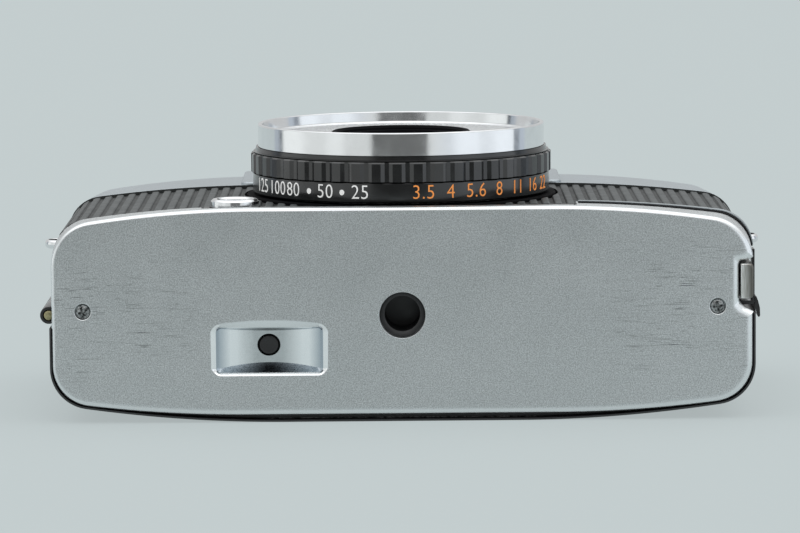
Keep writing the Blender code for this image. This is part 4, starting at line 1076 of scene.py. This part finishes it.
def darkenGrooves(item, endZ):
    # the floors of the grooves take a darker finish than the ribs, painted shade in the grooves
    curve = [Vector(point) for point in coverCurve(endZ)]
    item.data.materials.append(looks["groove"])
    for face in item.data.polygons:
        here = Vector((abs(face.center.x) / mm, leatherShape["front"] - face.center.z / mm))
        sinks = []
        for first, second in zip(curve, curve[1:]):
            along = second - first
            share = min(1.0, max(0.0, (here - first).dot(along) / along.length_squared))
            sinks.append((here - first - along * share).length)
        if min(sinks) > coverSpec["groove"]:
            face.material_index = 1


def makeCovering(side, low, endZ, cutter):
    name = "left" if side < 0.0 else "right"
    strip = solid(alongY(ribbedOutline(side, endZ), (low, coverSpec["high"])))
    cut(strip, lensBore(), cutter)
    dress(strip, "front_covering_" + name, "covering", "front_leather_" + name, 34.0)
    darkenGrooves(strip, endZ)


def doorOutline(inset, drop):
    curve = quarterCurve(doorShape, inset)
    half = doorShape["half"] - inset
    left = [(-x, depth) for x, depth in curve] + [(-half, doorSpec["leftTop"] - drop)]
    return [(half, doorSpec["rightTop"] - drop)] + curve[::-1] + left


def doorShell(outer, inner, low):
    # the lying U of the back with its two end edges rounded over
    plan = roundEdge(0.0, doorSpec["edge"], doorSpec["edge"], 5)
    stations = [(low + y, inset) for y, inset in plan]
    stations += [(doorSpec["high"] - y, inset) for y, inset in plan[::-1]]
    rings = []
    for y, inset in stations:
        rings.append(levelY(doorOutline(outer + inset, inset) + doorOutline(inner, inset)[::-1], y))
    return solid(loft(rings))


def makeBack():
    dress(doorShell(0.35, 1.6, doorSpec["low"]), "back_door_shell", "black", "back_door", body="back")
    dress(doorShell(0.0, 0.3, doorSpec["skinLow"]), "back_skin_cover", "skin", "back_leather", body="back")
    tab = solid(alongY(rounded(tabOutline, tabRadii), (-29.5, -17.0)))
    dress(tab, "door_pull_lip", "hinge", "door_pull_tab", body="back", flats=True)


def knuckle(low, high):
    outer, bore = hingeSpec["radius"], hingeSpec["bore"]
    profile = rounded([(bore, low), (outer, low), (outer, high), (bore, high)], [0.05, 0.14, 0.14, 0.05], 4)
    return turned(profile, hingeSpec["axis"], 48)


def makeHinge():
    leaf = solid(boxMesh(-52.0, -51.5, -30.9, 6.3, 9.8, 15.0))
    for low, high in ((-31.2, -20.0), (-5.0, 6.5)):
        unite(leaf, boxMesh(-52.85, -51.5, low + 0.4, high - 0.4, 14.8, 16.9), knuckle(low, high))
    dress(leaf, "door_hinge_plate", "hinge", "door_hinge_leaf", 35.0, "back")
    leaf = solid(boxMesh(-51.85, -51.3, -19.3, -5.7, 17.4, 25.0))
    unite(leaf, boxMesh(-52.85, -51.3, -19.3, -5.7, 16.7, 17.9), knuckle(-19.7, -5.3))
    dress(leaf, "body_hinge_plate", "hinge", "body_hinge_leaf", 35.0)
    pin = [(0.0, -31.4), (0.45, -31.37), (0.7, -31.25), (0.775, -31.05), (0.775, 6.25), (0.7, 6.45),
           (0.45, 6.57), (0.0, 6.6)]
    dressTurned(pin, hingeSpec["axis"], 32, "hinge_pin_rod", "agedBrass", "hinge_pin", body="back")


makeCovering(-1.0, coverSpec["leftLow"], coverSpec["leftEnd"], socketBore())
makeCovering(1.0, coverSpec["low"], coverSpec["rightEnd"], boxMesh(50.0, farOut, -30.0, 5.2, 16.0, 24.15))
makeBack()
makeHinge()
print("covering, back and hinge made")


# Top cover and its controls

topSpec = {"low": 7.0, "roof": 29.5, "edge": 2.2, "wall": 0.9}
panelSpec = {"centre": (0.0, 17.4), "halfX": 25.7, "halfY": 10.4, "corner": 1.6, "front": 33.2, "edge": 0.4}


def panelMesh():
    # raised front panel round the finder window, its edge rounded
    front, edge = panelSpec["front"], panelSpec["edge"]
    rings = []
    plan = [(31.7, 0.0)] + [(front - rest, sunk) for sunk, rest in roundEdge(0.0, edge, edge, 5)]
    for z, inset in plan:
        sizes = [size - inset for size in pick(panelSpec, "halfX", "halfY", "corner")]
        rings.append(levelZ(roundedBox(panelSpec["centre"], *sizes), z))
    return loft(rings)


def finderBox(halfX, halfY, corner, low, high):
    return alongZ(roundedBox(finderSpot, halfX, halfY, corner, 6, 4), (low, high))


def makeTopCover():
    low, roof, edge, wall = pick(topSpec, "low", "roof", "edge", "wall")
    arc = roundEdge(roof, roof - edge, edge)
    foot = [(footShape, low, 0.15), (footShape, low + 0.15, 0.0)]
    cover = solid(bodyLoft(foot + [(coverShape, y, inset) for y, inset in arc[::-1]]))
    hollow = [(low - 1.0, wall), (roof - edge, wall), (roof - 1.0, 2.0)]
    cut(cover, bodyLoft([(coverShape, y, inset) for y, inset in hollow]),
        boxMesh(-farOut, 0.0, 6.0, 18.5, -1.0, 17.3), boxMesh(0.0, farOut, 6.0, 18.5, -1.0, 17.3))
    unite(cover, panelMesh())
    cut(cover, lensBore(30.4), finderBox(4.7, 3.1, 0.5, 28.0, 40.0), finderBox(4.2, 2.8, 0.5, -1.0, 6.0),
        boxMesh(-48.3, -30.2, 20.1, 24.7, -1.0, 6.2))  # slot for the thumb wheel
    for spot, radius, steps in ((wheelSpot, 5.3, 96), (releaseSpot, 4.35, 96), (rewindSpot, 2.75, 64)):
        cut(cover, alongY(circle(spot, radius, steps), (27.0, 31.0)))
    dress(cover, "top_cover_shell", "silver", "top_cover", 30.0, flats=True)
    # black strip that shows as a dark line where the covering meets the cover: a painted shadow line in place
    # of the shade under the cover's edge
    shadowStrip = solid(alongY(bodyOutline(footShape, 0.02), (low - 0.18, low - 0.01)))
    cut(shadowStrip, alongY(bodyOutline(leatherShape, 0.6), (low - 1.0, low + 1.0)),
        boxMesh(-farOut, farOut, low - 1.0, low + 1.0, -5.0, 18.0), lensBore())
    dress(shadowStrip, "top_cover_shadow_strip", "groove")


def makeFinder():
    pane = solid(finderBox(4.5, 2.9, 0.4, 31.2, 32.9))
    bevelled(pane, 0.2)
    dress(pane, "finder_pane", "window", "finder_window", flats=True)
    eyepiece = solid(finderBox(4.0, 2.6, 0.5, 1.9, 5.8))
    cut(eyepiece, finderBox(3.1, 1.8, 0.7, 0.0, 7.0))
    bevelled(eyepiece, 0.2)
    dress(eyepiece, "eyepiece_frame", "plastic", "eyepiece", flats=True)
    dome = [(0.0, 28.7), (5.0, 28.7), (5.0, 29.45), (4.85, 29.6)] + domed(4.85, 29.6, 0.4, 8)
    dressTurned(dome, wheelSpot, 96, "counter_dome", "window", "counter_window")


def makeShoe():
    middle = 5.0
    rail = [(10.75, 29.55), (10.75, 33.0), (6.3, 33.0), (6.3, 32.4), (9.35, 32.4), (9.35, 30.3)]
    section = [(middle + x, y) for x, y in rail] + [(middle - x, y) for x, y in rail[::-1]]
    shoe = solid(alongZ(section, (7.5, 26.0)))
    bevelled(shoe, 0.16)
    dress(shoe, "hot_shoe_rails", "chrome", "hot_shoe", flats=True)
    button = [(0.0, 30.31), (1.1, 30.31), (1.1, 30.42), (1.0, 30.5), (0.6, 30.54), (0.0, 30.55)]
    dressTurned(button, (middle, 16.8), 48, "shoe_contact_button", "brass", "hot_shoe_contact")


lugSpec = {"y": 11.0, "z": 23.15, "half": 0.7, "start": 53.4, "bend": 55.0, "reach": 2.5, "steps": 28,
           "holeX": 55.2, "hole": 1.2}


def makeLugs():
    y, z, half, start, bend, reach, steps = pick(lugSpec, "y", "z", "half", "start", "bend", "reach", "steps")
    outline = [(start, y + reach)]
    for turn in [math.pi * i / steps for i in range(steps + 1)]:
        outline.append((bend + reach * math.sin(turn), y + reach * math.cos(turn)))
    outline.append((start, y - reach))
    for side, name in ((-1.0, "strap_lug_left"), (1.0, "strap_lug_right")):
        lug = solid(alongZ([(side * a, b) for a, b in outline], (z - half, z + half)))
        cut(lug, alongZ(circle((side * lugSpec["holeX"], y), lugSpec["hole"], 48), (z - 2.0, z + 2.0)))
        bevelled(lug, 0.55, 5)
        dress(lug, name + "_loop", "chrome", name, 45.0, flats=True)


def makeRelease():
    # dished button with a tapered hole for a cable
    profile = [(0.0, 30.2), (0.75, 30.2), (0.9, 31.5), (1.0, 31.72), (1.7, 31.78), (2.5, 31.9), (3.1, 32.0),
               (3.5, 31.95), (3.8, 31.78), (3.95, 31.5), (4.0, 31.2), (4.0, 27.0), (1.5, 27.0), (1.5, 20.8),
               (0.0, 20.8)]
    dressTurned(profile, releaseSpot, 96, "release_button_cap", "chrome", "release_button", 35.0, "release")


knobSpec = {"ribs": 72, "radius": 8.2, "depth": 0.22, "plain": 7.75,
            "rib": [(0.0, 0.5), (0.15, 0.05), (0.35, 0.05), (0.5, 0.5), (0.68, 1.0), (0.82, 1.0)],
            "dish": ((7.3, 31.8), (6.9, 31.6), (1.4, 31.6))}


def flatRing(points, centre, y, grow=0.0):
    return levelY(polarRing(points, centre, grow), y)


def makeRewind():
    x, z = rewindSpot
    teeth = ribbedRing(knobSpec["radius"], knobSpec["depth"], knobSpec["ribs"], knobSpec["rib"])
    plain = [(angle, knobSpec["plain"]) for angle, reach in teeth]
    plan = [(plain, 29.8), (teeth, 30.05), (teeth, 31.45), (plain, 31.75)]
    plan += [([(angle, radius) for angle, reach in teeth], y) for radius, y in knobSpec["dish"]]
    knob = solid(loft([flatRing(points, rewindSpot, y) for points, y in plan]))
    unite(knob, turned([(0.0, 13.2), (2.2, 13.2), (2.2, 30.6), (0.0, 30.6)], rewindSpot, 48),
          boxMesh(x - 2.35, x + 2.35, 10.2, 13.6, z - 0.6, z + 0.6))
    # two ears hold the crank
    ear = [(x - 6.9, 31.3), (x - 5.1, 31.3), (x - 5.1, 32.9), (x - 6.9, 32.9)]
    ear = rounded(ear, [0.0, 0.0, 0.7, 0.7], 6)
    unite(knob, alongZ(ear, (z - 3.2, z - 2.35)), alongZ(ear, (z + 2.35, z + 3.2)))
    dress(knob, "rewind_knob_head", "chrome", "rewind_knob", 30.0, "rewind_turn")
    # the arm tapers to a round end that carries the finger knob
    arm = rounded([(x - 6.3, z - 2.0), (x + 4.6, z - 2.0), (x + 6.4, z - 1.2), (x + 6.4, z + 1.2),
                   (x + 4.6, z + 2.0), (x - 6.3, z + 2.0)], [0.2, 0.8, 0.6, 0.6, 0.8, 0.2], 6)
    crank = solid(alongY(arm, (32.0, 32.7)))
    bevelled(crank, 0.12, 2)
    handle = rounded([(0.0, 31.95), (1.9, 31.95), (1.9, 33.0), (0.0, 33.0)], [0.0, 0.1, 0.25, 0.0], 4)
    unite(crank, turned(handle, (x + 5.0, z), 48))
    dress(crank, "rewind_crank_arm", "chrome", "rewind_crank", 35.0, "crank")
    collar = rounded([(2.5, 18.5), (4.0, 18.5), (4.0, 20.0), (2.5, 20.0)], [0.1, 0.15, 0.15, 0.1], 3)
    dressTurned(collar, rewindSpot, 48, "rewind_collar_ring", "brass", "rewind_collar", 35.0, "rewind_lift")


wheelSpec = {"radius": 11.3, "depth": 0.5, "ribs": 44, "bore": 2.4,
             "rib": [(0.0, 1.0), (0.14, 0.85), (0.36, 0.12), (0.5, 0.0), (0.64, 0.12), (0.86, 0.85)]}


def makeThumbWheel():
    teeth = ribbedRing(wheelSpec["radius"], wheelSpec["depth"], wheelSpec["ribs"], wheelSpec["rib"])
    bore = [(angle, wheelSpec["bore"]) for angle, reach in teeth]
    plan = [(bore, 20.4, 0.0), (teeth, 20.4, -0.55), (teeth, 20.75, 0.0), (teeth, 24.05, 0.0),
            (teeth, 24.4, -0.55), (bore, 24.4, 0.0)]
    rim = loft([flatRing(points, wheelSpot, y, grow) for points, y, grow in plan], closed=True)
    dress(solid(rim), "thumb_wheel_rim", "plastic", "thumb_wheel", 32.0, "advance")


dialSpec = {"face": 26.98, "thick": 0.02, "marks": 72, "numbers": 6, "size": 1.15, "ring": 3.35,
            "tick": (4.45, 4.15, 4.95), "tickHalf": 0.05, "squeeze": 0.8}


def makeCounter():
    profile = [(0.0, 25.2), (1.6, 25.2), (1.6, 26.2), (7.1, 26.2), (7.15, 26.3), (7.15, 26.9), (7.05, 26.97),
               (0.0, 26.97)]
    dressTurned(profile, wheelSpot, 96, "counter_disc", "white", "counter_dial", body="counter")
    ink = bmesh.new()
    face, thick = dialSpec["face"], dialSpec["thick"]
    short, long, end = dialSpec["tick"]
    for k, out in enumerate(circle((0.0, 0.0), 1.0, dialSpec["marks"])):
        # a tick for every frame, longer at every sixth
        out = Vector(out)
        side = Vector((-out.y, out.x)) * dialSpec["tickHalf"]
        near, far = out * (short if k % 6 else long), out * end
        corners = [Vector(wheelSpot) + p for p in (near - side, far - side, far + side, near + side)]
        closeSlab(ink, *[[ink.verts.new(Vector(point) * mm) for point in levelY(corners, y)]
                         for y in (face - thick, face + thick)])
    scale = dialSpec["size"] / figureSpec["size"]
    for k, out in enumerate(circle((0.0, 0.0), 1.0, dialSpec["numbers"])):

        def laid(point, out=Vector(out), across=Vector((out[1], -out[0]))):
            spot = out * (dialSpec["ring"] + point.y * scale)
            spot += across * (point.x * scale * dialSpec["squeeze"])
            return wheelSpot[0] + spot.x, face + point.z * scale, wheelSpot[1] + spot.y

        layFigure(ink, figureMesh(str(12 * k)), laid)
    dress(solid(ink), "counter_figures", "plastic", body="counter")


makeTopCover()
makeFinder()
makeShoe()
makeLugs()
makeRelease()
makeRewind()
makeThumbWheel()
makeCounter()
print("top cover and controls made")


# Springs, each with a mesh of its own

springSpec = {
    "release_spring": {"place": releaseSpot, "radius": 2.4, "wire": 0.25, "ends": (17.7, 26.9), "turns": 6,
                       "joint": "release_press", "travel": 2.5, "fixed": 17.7},
    "rewind_button_spring": {"place": buttonSpot, "radius": 1.95, "wire": 0.2, "ends": (-28.25, -25.7),
                             "turns": 3, "joint": "rewind_button_press", "travel": 1.3, "fixed": -25.7},
}
leafSpec = {"arch": [(-8.0, 1.75), (-7.0, 1.75), (-2.0, 3.7), (6.0, 3.7), (11.0, 1.75), (12.0, 1.75),
                     (12.0, 2.15), (11.2, 2.15), (6.2, 4.1), (-2.2, 4.1), (-7.2, 2.15), (-8.0, 2.15)],
            "bends": [0.0, 0.9, 1.6, 1.6, 0.9, 0.0, 0.0, 0.6, 2.0, 2.0, 0.6, 0.0],
            "middle": 2.0, "half": 4.0, "travel": 0.8}


def coilMesh(spec, around=20, sides=8):
    x, z = spec["place"]
    low, high = spec["ends"]
    wire, steps = spec["wire"], spec["turns"] * around
    rings = []
    for i in range(steps + 1):
        swing = fullTurn * i / around
        height = low + wire + (high - low - 2.0 * wire) * i / steps
        section = circle((spec["radius"], height), wire, sides)
        rings.append([(x + a * math.cos(swing), y, z + a * math.sin(swing)) for a, y in section])
    return loft(rings)


def makeSprings():
    for name, spec in springSpec.items():
        spring = dress(solid(coilMesh(spec)), name + "_coil", "steel", name, 50.0)
        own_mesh(spring)
    sides = (lensAxis[1] - leafSpec["half"], lensAxis[1] + leafSpec["half"])
    leaf = solid(alongY(rounded(leafSpec["arch"], leafSpec["bends"]), sides))
    dress(leaf, "pressure_spring_leaf", "steel", "pressure_spring", body="back", flats=True)
    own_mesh(leaf)


makeSprings()
print("springs made")


# Inner pieces keep their solids and get their finishes

innerLooks = {
    "casting": ("take_up_housing", "gate_housing", "cartridge_housing"),
    "plastic": ("take_up_spool", "pressure_plate"),
    "steel": ("film_sprocket", "shutter_blade_a", "shutter_blade_b", "door_catch"),
    "brass": ("idler_gear", "meter_movement"),
    "anodised": ("lens_barrel", "shutter_case"),
    "lens": ("middle_lens", "rear_lens"),
    "window": ("finder_block",),
}
for look, names in innerLooks.items():
    for name in names:
        for slot in nodes[name].material_slots:
            slot.material = looks[look]
print("inner pieces finished")
